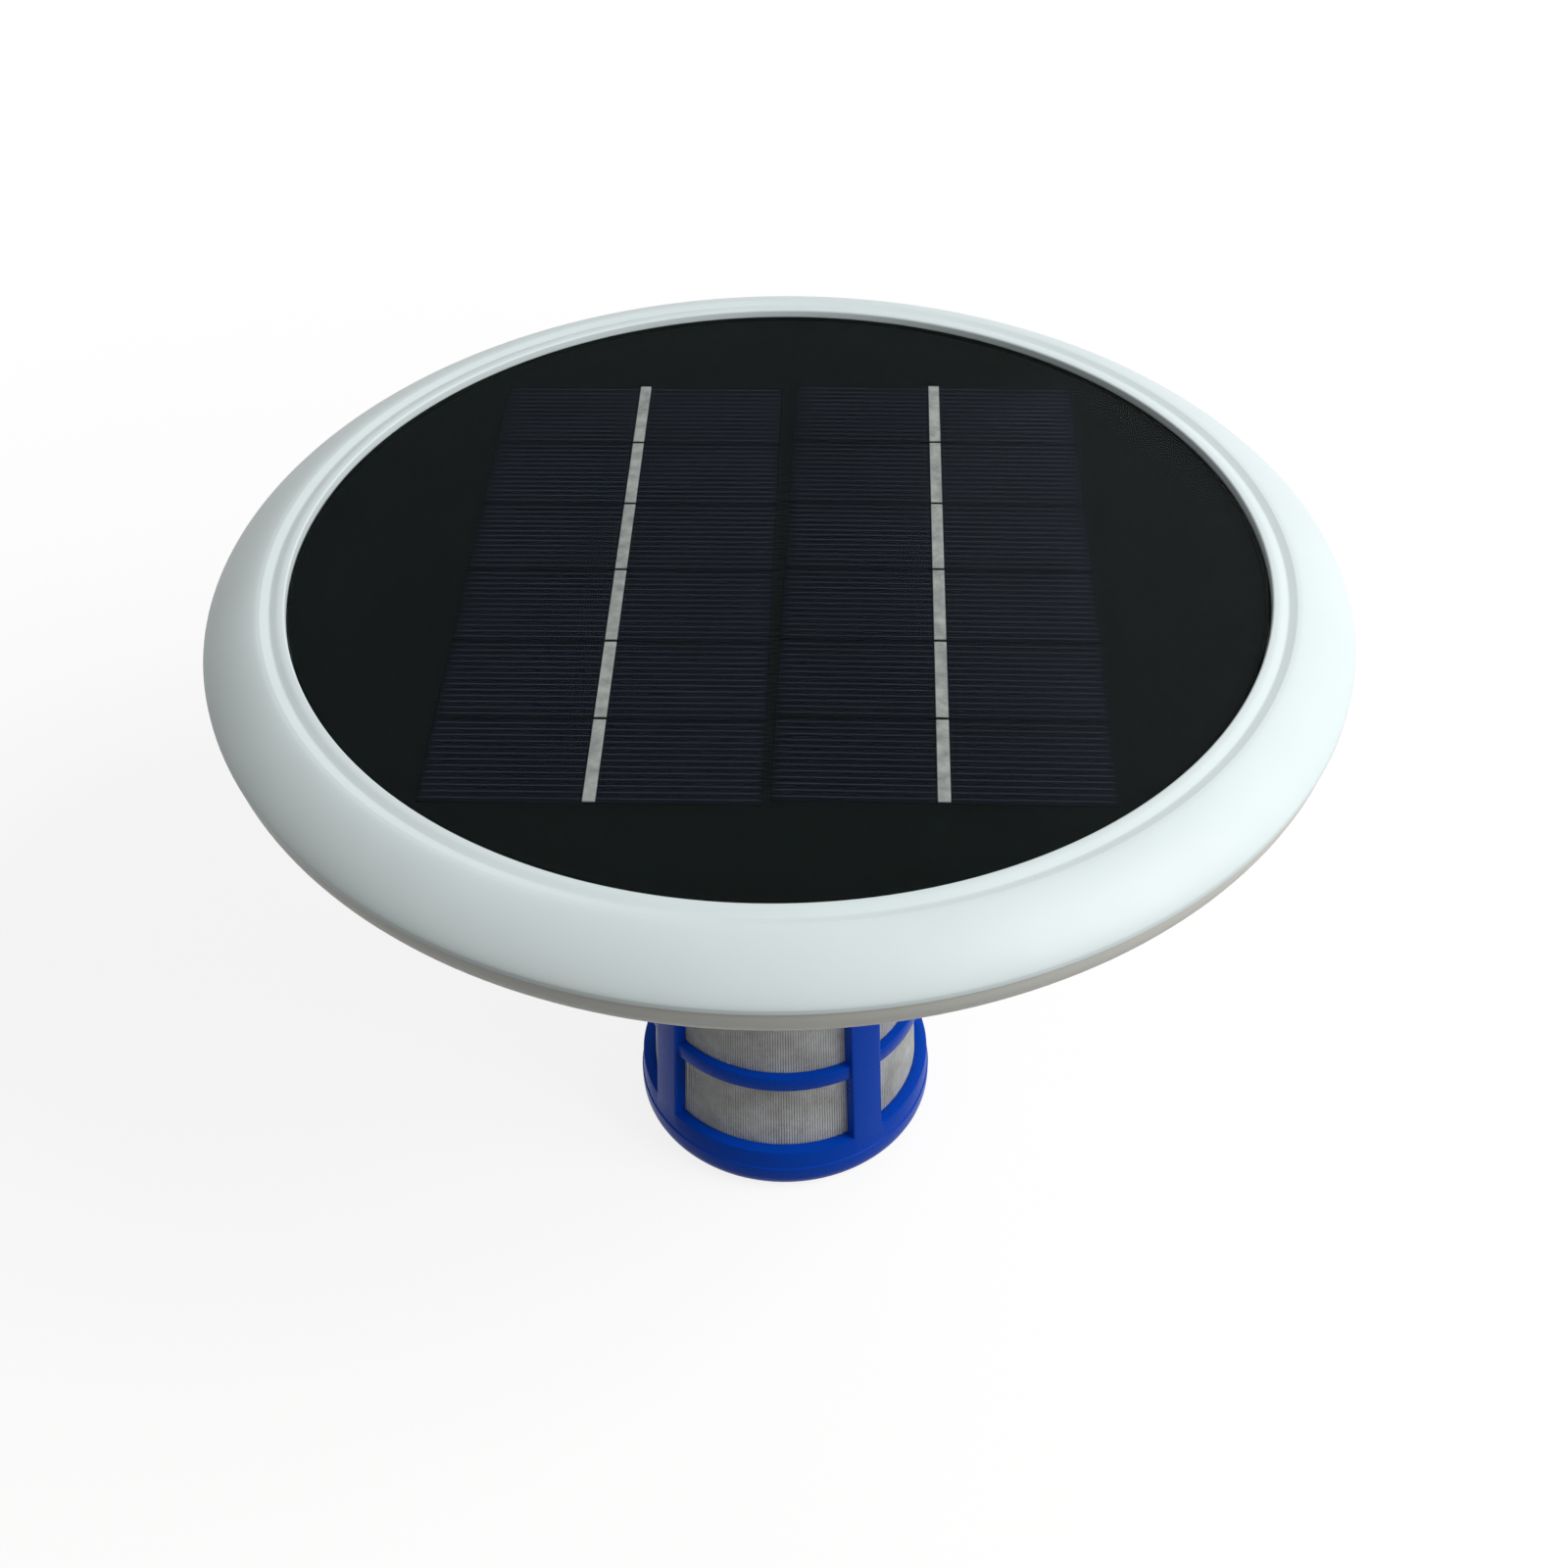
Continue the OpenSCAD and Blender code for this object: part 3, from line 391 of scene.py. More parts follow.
def make_metal():
    """Worked metal: tool lines round the axis, a dulled film in patches, and small marks."""
    tree, start, end = new_effect(
        "worked metal",
        [("Bright", "NodeSocketColor", (1, 1, 1, 1)), ("Dull", "NodeSocketColor", (0.3, 0.3, 0.3, 1)),
         ("Dulling", "NodeSocketFloat", 0.4)],
        [("Colour", "NodeSocketColor"), ("Roughness", "NodeSocketFloat"), ("Height", "NodeSocketFloat")])
    where = tree.nodes.new("ShaderNodeTexCoord").outputs["Object"]
    mapping = tree.nodes.new("ShaderNodeMapping")
    mapping.inputs["Scale"].default_value = (0.05, 0.05, 1.0)
    link(tree, where, mapping.inputs["Vector"])
    lines = noise(tree, mapping.outputs["Vector"], 0.35, 3.0, 0.6)
    film = noise(tree, where, 6.0, 6.0, 0.62)
    share = sums(tree, "MULTIPLY", ranged(tree, film, 0.38, 0.66, 0.0, 1.0), start.outputs["Dulling"])
    link(tree, mixed(tree, share, start.outputs["Bright"], start.outputs["Dull"]), end.inputs["Colour"])
    link(tree, ranged(tree, sums(tree, "ADD", lines, film), 0.6, 1.4, 0.22, 0.48), end.inputs["Roughness"])
    link(tree, lines, end.inputs["Height"])
    return tree


MOULDED = make_moulded()
METAL = make_metal()


def new_finish(name, metallic=0.0, specular=0.5, roughness=0.5, alpha=1.0):
    """A material whose plain values sit on its own shader."""
    finish = bpy.data.materials.new(name)
    finish.use_nodes = True
    shader = finish.node_tree.nodes["Principled BSDF"]
    shader.inputs["Metallic"].default_value = metallic
    shader.inputs["Specular IOR Level"].default_value = specular
    shader.inputs["Roughness"].default_value = roughness
    shader.inputs["Alpha"].default_value = alpha
    return finish, finish.node_tree, shader


def bump(tree, shader, height, depth):
    """Raise a shader's surface by a height of up to a depth in millimetres."""
    node = tree.nodes.new("ShaderNodeBump")
    node.inputs["Distance"].default_value = depth * MM
    node.inputs["Strength"].default_value = 1.0
    link(tree, height, node.inputs["Height"])
    link(tree, node.outputs["Normal"], shader.inputs["Normal"])


def placed(tree, effect, **values):
    """A shared effect in a material, with its own values."""
    node = tree.nodes.new("ShaderNodeGroup")
    node.node_tree = effect
    for label, value in values.items():
        node.inputs[label.replace("_", " ")].default_value = value
    return node


def plastic(name, colour, drift, gloss, depth, specular=0.5):
    """A moulded plastic: its colour, drift of tone, range of gloss and depth of skin."""
    finish, tree, shader = new_finish(name, specular=specular)
    skin = placed(tree, MOULDED, Colour=(*colour, 1), Drift=drift, Gloss_low=gloss[0], Gloss_high=gloss[1])
    link(tree, skin.outputs["Colour"], shader.inputs["Base Color"])
    link(tree, skin.outputs["Roughness"], shader.inputs["Roughness"])
    bump(tree, shader, skin.outputs["Height"], depth)
    return finish


def metal(name, bright, dull, dulling, depth):
    """A worked metal between a bright and a dulled colour."""
    finish, tree, shader = new_finish(name, metallic=1.0)
    work = placed(tree, METAL, Bright=(*bright, 1), Dull=(*dull, 1), Dulling=dulling)
    link(tree, work.outputs["Colour"], shader.inputs["Base Color"])
    link(tree, work.outputs["Roughness"], shader.inputs["Roughness"])
    bump(tree, shader, work.outputs["Height"], depth)
    return finish


def make_cell():
    """Dark silicon: blue-black crystals that differ a little in tone."""
    finish, tree, shader = new_finish("cell silicon", specular=0.0)
    where = tree.nodes.new("ShaderNodeTexCoord").outputs["Object"]
    crystals = tree.nodes.new("ShaderNodeTexVoronoi")
    crystals.inputs["Scale"].default_value = 1 / (4.0 * MM)
    link(tree, where, crystals.inputs["Vector"])
    tone = tree.nodes.new("ShaderNodeSeparateColor")
    link(tree, crystals.outputs["Color"], tone.inputs["Color"])
    share = sums(tree, "MULTIPLY", tone.outputs["Red"], 0.55)
    cloud = noise(tree, where, 30.0, 2.0)
    colour = mixed(tree, share, (0.0046, 0.0062, 0.0112, 1), (0.0068, 0.0082, 0.0150, 1))
    colour = mixed(tree, ranged(tree, cloud, 0.3, 0.7, 0.0, 0.35), colour, (0.005, 0.007, 0.009, 1))
    link(tree, colour, shader.inputs["Base Color"])
    link(tree, ranged(tree, tone.outputs["Green"], 0.0, 1.0, 0.3, 0.42), shader.inputs["Roughness"])
    return finish


def make_clear():
    """Clear laminate: a thin dark glaze with a soft shine, and the layers under it in view."""
    finish, tree, shader = new_finish("clear laminate", specular=0.4, alpha=0.045)
    where = tree.nodes.new("ShaderNodeTexCoord").outputs["Object"]
    haze = noise(tree, where, 18.0, 3.0)
    link(tree, mixed(tree, haze, (0.012, 0.02, 0.018, 1), (0.02, 0.028, 0.026, 1)),
         shader.inputs["Base Color"])
    link(tree, ranged(tree, haze, 0.3, 0.7, 0.12, 0.2), shader.inputs["Roughness"])
    bump(tree, shader, noise(tree, where, 24.0, 1.0), 0.02)
    return finish


def make_net():
    """Pale nylon threads, darker in random patches."""
    finish, tree, shader = new_finish("nylon net", specular=0.35, roughness=0.55)
    where = tree.nodes.new("ShaderNodeTexCoord").outputs["Object"]
    patches = noise(tree, where, 7.0, 5.0, 0.65)
    threads = noise(tree, where, 0.7, 2.0)
    colour = mixed(tree, ranged(tree, patches, 0.35, 0.68, 0.0, 1.0),
                   (0.66, 0.68, 0.69, 1), (0.40, 0.40, 0.38, 1))
    colour = mixed(tree, ranged(tree, threads, 0.3, 0.7, 0.0, 0.25), colour, (0.78, 0.80, 0.81, 1))
    link(tree, colour, shader.inputs["Base Color"])
    bump(tree, shader, threads, 0.03)
    return finish


def make_ribbon():
    """Tinned ribbon: dull, slightly uneven solder."""
    finish, tree, shader = new_finish("tinned ribbon", metallic=0.3, specular=0.4)
    where = tree.nodes.new("ShaderNodeTexCoord").outputs["Object"]
    solder = noise(tree, where, 2.4, 5.0, 0.6)
    link(tree, mixed(tree, ranged(tree, solder, 0.35, 0.7, 0.0, 1.0),
                     (0.41, 0.43, 0.41, 1), (0.22, 0.24, 0.24, 1)), shader.inputs["Base Color"])
    link(tree, ranged(tree, solder, 0.3, 0.7, 0.35, 0.6), shader.inputs["Roughness"])
    bump(tree, shader, solder, 0.05)
    return finish


COVER_WHITE = plastic("cover white", (0.76, 0.852, 0.868), 0.04, (0.34, 0.48), 0.004, specular=0.25)
# The shell's white is darker and warmer than the cover's: painted shade and a painted warm reflection from
# below, for the band under the rim.
SHELL_WHITE_PAINTED_SHADE = plastic("shell white", (0.70, 0.70, 0.66), 0.06, (0.38, 0.6), 0.01, specular=0.3)
BASKET_BLUE = plastic("basket blue", (0.0008, 0.066, 0.55), 0.15, (0.24, 0.4), 0.006, specular=0.06)
NUT_BLUE = plastic("thumb nut blue", (0.001, 0.045, 0.36), 0.15, (0.3, 0.5), 0.01, specular=0.1)
BOARD_BLACK = plastic("board black", (0.0042, 0.0066, 0.0066), 0.2, (0.4, 0.55), 0.0, specular=0.0)
BOX_BLACK = plastic("box black", (0.02, 0.02, 0.022), 0.15, (0.4, 0.6), 0.03)
WIRE_RED = plastic("wire red", (0.45, 0.02, 0.018), 0.1, (0.35, 0.5), 0.02)
WIRE_BLACK = plastic("wire black", (0.02, 0.02, 0.02), 0.1, (0.35, 0.5), 0.02)
FINGER_SILVER = plastic("finger silver", (0.036, 0.041, 0.057), 0.3, (0.4, 0.6), 0.0, specular=0.0)
STEEL = metal("stainless steel", (0.56, 0.57, 0.58), (0.36, 0.36, 0.36), 0.5, 0.008)
COPPER = metal("anode copper", (0.72, 0.33, 0.17), (0.30, 0.15, 0.09), 0.75, 0.02)
BRASS = metal("bare brass", (0.60, 0.44, 0.20), (0.33, 0.24, 0.11), 0.5, 0.01)
CELL_NAVY = make_cell()
CLEAR = make_clear()
NET_GREY = make_net()
RUBBER = plastic("seal rubber", (0.03, 0.03, 0.031), 0.3, (0.6, 0.85), 0.03, specular=0.3)
RIBBON = make_ribbon()


def dress(piece, body, slot, finish, *nodes, angle=32):
    """Smooth a finished piece, give it its material, and let it ride on its body."""
    only(piece)
    bpy.ops.object.shade_smooth_by_angle(angle=math.radians(angle))
    piece.data.materials.clear()
    piece.data.materials.append(finish)
    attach(piece, body)
    if nodes:
        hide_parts(*nodes)


# Float

def make_cover():
    """Top moulding: ledge for the panel, lip, shallow groove and rim, with screw bosses and a tongue."""
    line = [(79.1, 136.0, 0.2), (85.1, 136.0, 0.1), (85.1, 140.0, 0.4), (86.4, 140.0, 2.5),
            (87.8, 139.5, 0.8), (89.3, 139.92, 0.9)]
    line += rim((89.9, 139.87), (99.96, 133.0), 40) + [(99.96, 132.2), (99.76, SEAM_Z)]
    line += rim((87.6, 136.9), (97.5, SEAM_Z), 20)[::-1] + [(87.6, 133.5), (79.1, 133.5)]
    cover = turned("float_cover", eased(line, 6), 240)
    bosses = [rod("boss", 2.95, SEAM_Z, 137.2, x, y) for x, y in SCREW_PLACES]
    tongue = turned("tongue", [(93.8, 131.4), (95.4, 131.4), (95.4, 135.0), (93.8, 135.0)], 240)
    carve(cover, bosses, "UNION")
    carve(cover, [tongue], "UNION")
    carve(cover, [rod("bore", 1.5, 131.0, 136.3, x, y) for x, y in SCREW_PLACES])
    return cover


def make_shell():
    """Lower moulding: bowl, seam flange with its groove, screw posts, closed neck and spigot."""
    inner = bowl(2.5, 40)
    wide = [p for p in inner if p[0] > FLANGE_R]
    narrow = [p for p in inner if p[0] <= FLANGE_R]
    line = bowl(0, 48)
    line += [(SPIGOT_R, 80.0, 0.3), (SPIGOT_R, SPIGOT_LOW, 0.6), (SPIGOT_BORE_R, SPIGOT_LOW, 0.4),
             (SPIGOT_BORE_R, PLATE_LOW, 0.4), (STUD_HOLE_R, PLATE_LOW, 0.3), (STUD_HOLE_R, PLATE_TOP),
             (SPIGOT_BORE_R, PLATE_TOP)]
    line += narrow[::-1]
    share = (FLANGE_R - narrow[0][0]) / (wide[-1][0] - narrow[0][0])
    line += [(FLANGE_R, narrow[0][1] + share * (wide[-1][1] - narrow[0][1])), (FLANGE_R, SEAM_Z),
             (93.6, SEAM_Z), (93.6, 130.4), (95.6, 130.4), (95.6, SEAM_Z)]
    shell = turned("float_shell", eased(line), 216)
    posts = joined("posts", [rod("post", 4.5, 80.0, SEAM_Z - 0.05, x, y) for x, y in SCREW_PLACES])
    block = turned("bowl_block", [(0.0, SEAM_Z)] + bowl(0.4, 48) + [(0.0, 80.4)], 216)
    carve(posts, [block], "INTERSECT")
    carve(shell, [posts], "UNION")
    carve(shell, [rod("well", 3.0, 80.0, 126.0, x, y) for x, y in SCREW_PLACES]
          + [rod("hole", 1.65, 125.0, 134.0, x, y) for x, y in SCREW_PLACES]
          + [rod("post_hole", 2.1, 70.0, 77.0, -SPRING_R, 0.0)])
    return shell


dress(make_cover(), "float", "cover_white", COVER_WHITE, "upper_cover", angle=28)
dress(make_shell(), "float", "shell_white", SHELL_WHITE_PAINTED_SHADE, "lower_shell", angle=28)


def make_screws():
    """Pan-head screws with a cross recess, driven up from below."""
    screw = turned("screw", eased([(0.0, 124.2), (1.8, 124.2), (2.8, 125.0, 0.4), (2.8, 126.0, 0.1),
                                   (1.45, 126.0), (1.45, 135.2), (0.7, 136.0), (0.0, 136.0)]), 32)
    cross = [slab("slot", (-1.4, -0.3, 123.0), (1.4, 0.3, 125.1), a) for a in (0.0, math.pi / 2)]
    carve(screw, cross[:1])
    carve(screw, cross[1:])
    parts = [copied(screw, "screw", 0.0, (x, y, 0)) for x, y in SCREW_PLACES]
    bpy.data.objects.remove(screw)
    return joined("float_screws", parts)


dress(make_screws(), "float", "steel", STEEL, "shell_screws")

gasket = turned("seam_seal", eased([(93.7, 130.4, 0.3), (95.5, 130.4, 0.3), (95.5, 131.38, 0.3),
                                    (93.7, 131.38, 0.3)]), 180)
dress(gasket, "float", "seal_rubber", RUBBER, "seam_gasket")


# Solar panel

# Each column's middle in millimetres and its turn in degrees: both lie a little askew.
COLUMNS = {"left": ((-27.49, -1.45), -2.1), "right": ((27.89, -2.75), -2.8)}
ROWS, ROW_PITCH = 6, 20.1
CELL_W, CELL_D = 53.38, 19.5
FINGERS, FINGER_PITCH, FINGER_HALF_L, FINGER_HALF_W = 13, 1.48, 26.2, 0.1


def in_column(piece, side):
    """Lay a piece that was made round the axis into its column."""
    (x, y), turn = COLUMNS[side]
    piece.data.transform(Matrix.Translation(Vector((x, y, 0)) * MM)
                         @ Matrix.Rotation(math.radians(turn), 4, "Z"))
    return piece


def make_rows(name, model, side):
    """A column of six copies of a model, which is used up."""
    rows = [copied(model, name, 0.0, (0, (i - (ROWS - 1) / 2) * ROW_PITCH, 0)) for i in range(ROWS)]
    bpy.data.objects.remove(model)
    return in_column(joined(name, rows), side)


def make_cell_plate():
    """One cell, its edges a little eased."""
    plate = slab("plate", (-CELL_W / 2, -CELL_D / 2, BOARD_TOP), (CELL_W / 2, CELL_D / 2, CELL_TOP - 0.01))
    soften(plate, 0.12, 2)
    return plate


def make_fingers():
    """The printed fingers that run right across a cell, under its ribbon."""
    fingers = []
    for i in range(FINGERS):
        y = (i - (FINGERS - 1) / 2) * FINGER_PITCH
        finger = slab("finger", (-FINGER_HALF_L, y - FINGER_HALF_W, CELL_TOP - 0.04),
                      (FINGER_HALF_L, y + FINGER_HALF_W, CELL_TOP + 0.02))
        soften(finger, 0.02, 1)
        fingers.append(finger)
    return joined("fingers", fingers)


def make_tab_ribbon():
    """One ribbon, dimpled where the iron touched it."""
    ribbon = slab("ribbon", (-1.0, -CELL_D / 2 + 0.05, CELL_TOP), (1.0, CELL_D / 2 - 0.05, CELL_TOP + 0.18))
    open_up(ribbon)
    bpy.ops.mesh.select_all(action="SELECT")
    bpy.ops.mesh.subdivide(number_cuts=8)
    pick(ribbon, "FACE", lambda c, n: n.z > 0.9 and abs(c.x) < 0.7 and int((c.y + 30) / 2.2) % 3 == 0)
    bpy.ops.mesh.inset(thickness=0.12 * MM, depth=-0.03 * MM)
    close_up()
    soften(ribbon, 0.05, 2, 50)
    return ribbon


for side in ("left", "right"):
    dress(make_rows(side + "_cell_plates", make_cell_plate(), side), "float", "cell_navy", CELL_NAVY,
          side + "_cells")
    dress(make_rows(side + "_fingers", make_fingers(), side), "float", "ribbon_tin", FINGER_SILVER)
    dress(make_rows(side + "_tab_ribbons", make_tab_ribbon(), side), "float", "ribbon_tin", RIBBON,
          side + "_ribbons")

# The board has a low border under the clear face, so that the wall of its recess doesn't shine through.
board = turned("panel_base", eased([(0.0, 136.5), (PANEL_R, 136.5, 0.1), (PANEL_R, 138.68, 0.1),
                                    (84.1, 138.68, 0.15), (84.1, BOARD_TOP), (0.0, BOARD_TOP)]), 200)
dress(board, "float", "panel_black", BOARD_BLACK, "panel_board")
laminate = turned("panel_face", eased([(0.0, 138.72), (PANEL_R, 138.72, 0.05), (PANEL_R, PANEL_TOP, 0.2),
                                       (0.0, PANEL_TOP)]), 200)
dress(laminate, "float", "laminate_clear", CLEAR, "panel_laminate")


# Basket

def foot_curve(radius, steps):
    """The rounded corner of the foot, from the ground up, about the cage's own corner centre."""
    return [(26.4 + radius * math.sin(t), 4.5 - radius * math.cos(t))
            for t in (math.pi / 2 * i / steps for i in range(steps + 1))]


def cut_windows(cage):
    """Cut both rows of windows between the ribs and close the cut walls."""
    along = Vector((math.cos(RIB_WAY), math.sin(RIB_WAY), 0))
    across = Vector((-along.y, along.x, 0))

    def between_ribs(c):
        return abs(c.dot(along)) > RIB_HALF_W and abs(c.dot(across)) > RIB_HALF_W

    open_up(cage)
    for way in (along, across):
        for side in (-RIB_HALF_W, RIB_HALF_W):
            bpy.ops.mesh.select_all(action="SELECT")
            bpy.ops.mesh.bisect(plane_co=way * side * MM, plane_no=way, threshold=1e-7)
    for low, high in WINDOW_ROWS:
        for height in (low, high):
            bpy.ops.mesh.select_all(action="SELECT")
            bpy.ops.mesh.bisect(plane_co=(0, 0, height * MM), plane_no=(0, 0, 1), threshold=1e-7)
    pick(cage, "FACE", lambda c, n: between_ribs(c) and any(low < c.z < high for low, high in WINDOW_ROWS))
    bpy.ops.mesh.delete(type="FACE")
    for low, high in WINDOW_ROWS:
        for sa in (-1, 1):
            for sb in (-1, 1):
                pick(cage, "EDGE", lambda c, uses: uses == 1 and low - 0.1 < c.z < high + 0.1
                     and c.dot(along) * sa > RIB_HALF_W - 0.1 and c.dot(across) * sb > RIB_HALF_W - 0.1)
                bpy.ops.mesh.bridge_edge_loops()
    close_up()
    tidy(cage)


def set_ring_back(cage):
    """Cut the middle ring back from the ribs' faces."""
    depth, low, high = 0.7, 29.3, 33.2
    step = turned("ring_step", [(cage_r(low) - depth, low), (32.0, low), (32.0, high),
                                (cage_r(high) - depth, high)], 128, RIB_WAY)
    for turn in (0.0, math.pi / 2):
        carve(step, [slab("rib", (-40, -RIB_HALF_W, 20.0), (40, RIB_HALF_W, 40.0), RIB_WAY + turn)])
    carve(cage, [step])


def make_cage():
    """Cage of the basket: a turned wall with two rows of windows cut between four ribs."""
    floor_top, floor_low, ledge = 11.0, 8.5, 5.0
    line = [(24.0, 0.0)] + foot_curve(4.5, 10)
    line += [(30.9, 7.0, 0.1), (30.65, 7.2, 0.08), (cage_r(79.7), 79.7, 0.5), (COLLAR_R, 79.7, 0.6),
             (COLLAR_R, COLLAR_LOW, 0.2), (cage_r(COLLAR_LOW) - CAGE_WALL, COLLAR_LOW, 0.2),
             (cage_r(floor_top) - CAGE_WALL, floor_top, 0.2), (cage_r(floor_top) - ledge, floor_top, 0.3),
             (cage_r(floor_top) - ledge, floor_low, 0.3), (28.4, floor_low, 0.3), (28.4, 4.5)]
    line += foot_curve(2.0, 5)[-2::-1] + [(24.0, 2.5)]
    cage = turned("basket_cage", eased(line, 3), 128, RIB_WAY)
    cut_windows(cage)
    set_ring_back(cage)
    soften(cage, 0.28, 2, 50)
    return cage


def make_floor():
    """Spoked floor inside the foot, round the hole for the stud."""
    hub = turned("basket_floor", eased([(3.2, 8.6, 0.3), (11.0, 8.6, 0.4), (11.0, 10.9, 0.4),
                                        (3.2, 10.9, 0.3)]), 64, RIB_WAY)
    spokes = [slab("spoke", (10.0, -1.25, 8.65), (26.6, 1.25, 10.85), RIB_WAY + FULL * i / 8)
              for i in range(8)]
    for spoke in spokes:
        soften(spoke, 0.25, 2)
    carve(hub, spokes, "UNION")
    return hub


dress(make_cage(), "basket", "basket_blue", BASKET_BLUE, "basket_frame")
dress(make_floor(), "basket", "basket_blue", BASKET_BLUE, "basket_frame")


def make_side_net():
    """Four panels of fine net, each bonded inside the wall between two ribs."""
    low, high = 11.1, 55.4
    middle = (low + high) / 2
    span, first = math.radians(82.0), RIB_WAY + math.radians(4.0)
    uprights, hoops = 74, 80
    thread_r, gap = 0.21, CAGE_WALL + 0.08
    flat = Matrix.Diagonal((0.5, 1, 1, 1))
    thread = rod("thread", thread_r, low, high, 0.0, 0.0, 6)
    thread.data.transform(flat)
    thread.data.transform(
        Matrix.Translation(Vector(((cage_r(low) + cage_r(high)) / 2 - gap - 0.11, 0, middle)) * MM)
        @ Matrix.Rotation(-math.atan(DRAFT), 4, "Y")
        @ Matrix.Translation(Vector((0, 0, -middle)) * MM))
    threads = [copied(thread, "thread", first + span * (i + 0.5) / uprights) for i in range(uprights)]
    bpy.data.objects.remove(thread)
    for i in range(hoops):
        z = low + (high - low) * (i + 0.5) / hoops
        bpy.ops.object.select_all(action="DESELECT")
        bpy.ops.mesh.primitive_circle_add(vertices=6, radius=thread_r * MM, fill_type="NGON",
                                          location=(0, 0, 0), rotation=(math.pi / 2, 0, 0))
        hoop = named("hoop")
        settle(hoop)
        hoop.data.transform(flat)
        place = Matrix.Translation(Vector((cage_r(z) - gap - 0.29, 0, z)) * MM)
        hoop.data.transform(Matrix.Rotation(first, 4, "Z") @ place)
        open_up(hoop)
        bpy.ops.mesh.select_all(action="SELECT")
        bpy.ops.mesh.spin(steps=12, angle=span, center=(0, 0, 0), axis=(0, 0, 1))
        close_up()
        tidy(hoop)
        threads.append(hoop)
    panel = joined("net_panel", threads)
    panels = [copied(panel, "net_panel", math.pi / 2 * i) for i in range(4)]
    bpy.data.objects.remove(panel)
    return joined("side_net", panels)


def make_floor_net():
    """Disc of the same net on the spoked floor, with a hole for the stud."""
    disc_r, hole_r = 27.0, 3.3
    count, pitch, half_w, half_t = 88, 0.61, 0.2, 0.12
    threads = []
    for k, z in ((0, 11.14), (1, 11.34)):
        for i in range(count):
            y = (i - (count - 1) / 2) * pitch
            reach = math.sqrt(max(0.0, disc_r ** 2 - y * y))
            inner = math.sqrt(hole_r ** 2 - y * y) if abs(y) < hole_r else 0.0
            for a, b in ([(-reach, -inner), (inner, reach)] if inner else [(-reach, reach)]):
                if b - a > 0.4:
                    threads.append(slab("thread", (a, y - half_w, z - half_t), (b, y + half_w, z + half_t),
                                        math.pi / 2 * k))
    net = joined("floor_net", threads)
    soften(net, 0.06, 1, 50)
    return net


dress(make_side_net(), "basket", "mesh_grey", NET_GREY, "side_mesh", angle=50)
dress(make_floor_net(), "basket", "mesh_grey", NET_GREY, "floor_mesh", angle=50)


# Electrodes

anode = turned("anode_block", eased([(STUD_HOLE_R, ANODE_LOW), (12.99, ANODE_LOW, 1.0),
                                     (12.99, ANODE_TOP, 1.0), (STUD_HOLE_R, ANODE_TOP)], 6), 128)
dress(anode, "float", "copper", COPPER, "anode")
anode_seal = turned("anode_ring", eased([(STUD_HOLE_R, ANODE_TOP, 0.2), (8.1, ANODE_TOP, 0.4),
                                         (8.1, PLATE_LOW, 0.4), (STUD_HOLE_R, PLATE_LOW, 0.2)]), 64)
dress(anode_seal, "float", "seal_rubber", RUBBER, "anode_seal")
anode_washer = turned("anode_disc", eased([(STUD_HOLE_R, 23.3, 0.1), (8.1, 23.3, 0.25),
                                           (8.1, ANODE_LOW, 0.25), (STUD_HOLE_R, ANODE_LOW, 0.1)]), 64)
dress(anode_washer, "float", "steel", STEEL, "anode_washer")


def make_hex_nut(name, low, high, flats, bore):
    """A hexagon nut with chamfered corners and a countersunk bore."""
    corner = flats / 2 / math.cos(math.pi / 6)
    nut = rod(name, corner, low, high, 0.0, 0.0, 6)
    ease = (corner - flats / 2) * 0.6
    dish = turned("dish", [(0.0, low), (flats / 2, low), (corner, low + ease), (corner, high - ease),
                           (flats / 2, high), (0.0, high)], 96)
    carve(nut, [dish], "INTERSECT")
    hole = turned("hole", [(0.0, low - 1), (bore + 1.4, low - 1), (bore, low + 0.4), (bore, high - 0.4),
                           (bore + 1.4, high + 1), (0.0, high + 1)], 48)
    carve(nut, [hole])
    return nut


lock_nut = make_hex_nut("lock_nut", 18.3, 23.3, 10.0, 3.06)
dress(lock_nut, "float", "steel", STEEL, "anode_lock_nut")


def make_thread(name, low, high, core, crest, pitch):
    """A threaded rod: a core with eased ends and one ridge wound round it."""
    shaft = turned(name, [(0.0, low), (core - 0.5, low), (core, low + 0.5), (core, high - 0.5),
                          (core - 0.5, high), (0.0, high)], 32)
    bpy.ops.object.select_all(action="DESELECT")
    bpy.ops.mesh.primitive_plane_add(size=MM, location=(0, 0, 0))
    ridge = named("ridge")
    open_up(ridge)
    bpy.ops.mesh.select_all(action="SELECT")
    bpy.ops.mesh.merge(type="CENTER")
    half = pitch * 0.44
    start, flat = low + 0.5, 0.06
    corners = [(core - 0.05, start), (crest, start + half - flat), (crest, start + half + flat),
               (core - 0.05, start + 2 * half)]
    bpy.ops.transform.translate(value=(corners[0][0] * MM, 0, corners[0][1] * MM))
    for (r0, z0), (r1, z1) in zip(corners, corners[1:]):
        bpy.ops.mesh.extrude_region_move(
            TRANSFORM_OT_translate={"value": ((r1 - r0) * MM, 0, (z1 - z0) * MM)})
    bpy.ops.mesh.select_all(action="SELECT")
    bpy.ops.mesh.edge_face_add()
    close_up()
    turns = int((high - low - 1.0 - 2 * half) / pitch)
    apply(ridge, "SCREW", axis="Z", screw_offset=pitch * MM, iterations=turns, steps=20, render_steps=20,
          use_merge_vertices=False)
    open_up(ridge)
    bpy.ops.mesh.select_all(action="SELECT")
    bpy.ops.mesh.fill_holes(sides=8)
    close_up()
    tidy(ridge)
    return joined(name, [shaft, ridge])


stud = make_thread("stud_thread", 1.9, 85.3, 2.5, 2.98, 1.0)
dress(stud, "float", "steel", STEEL, "anode_stud")

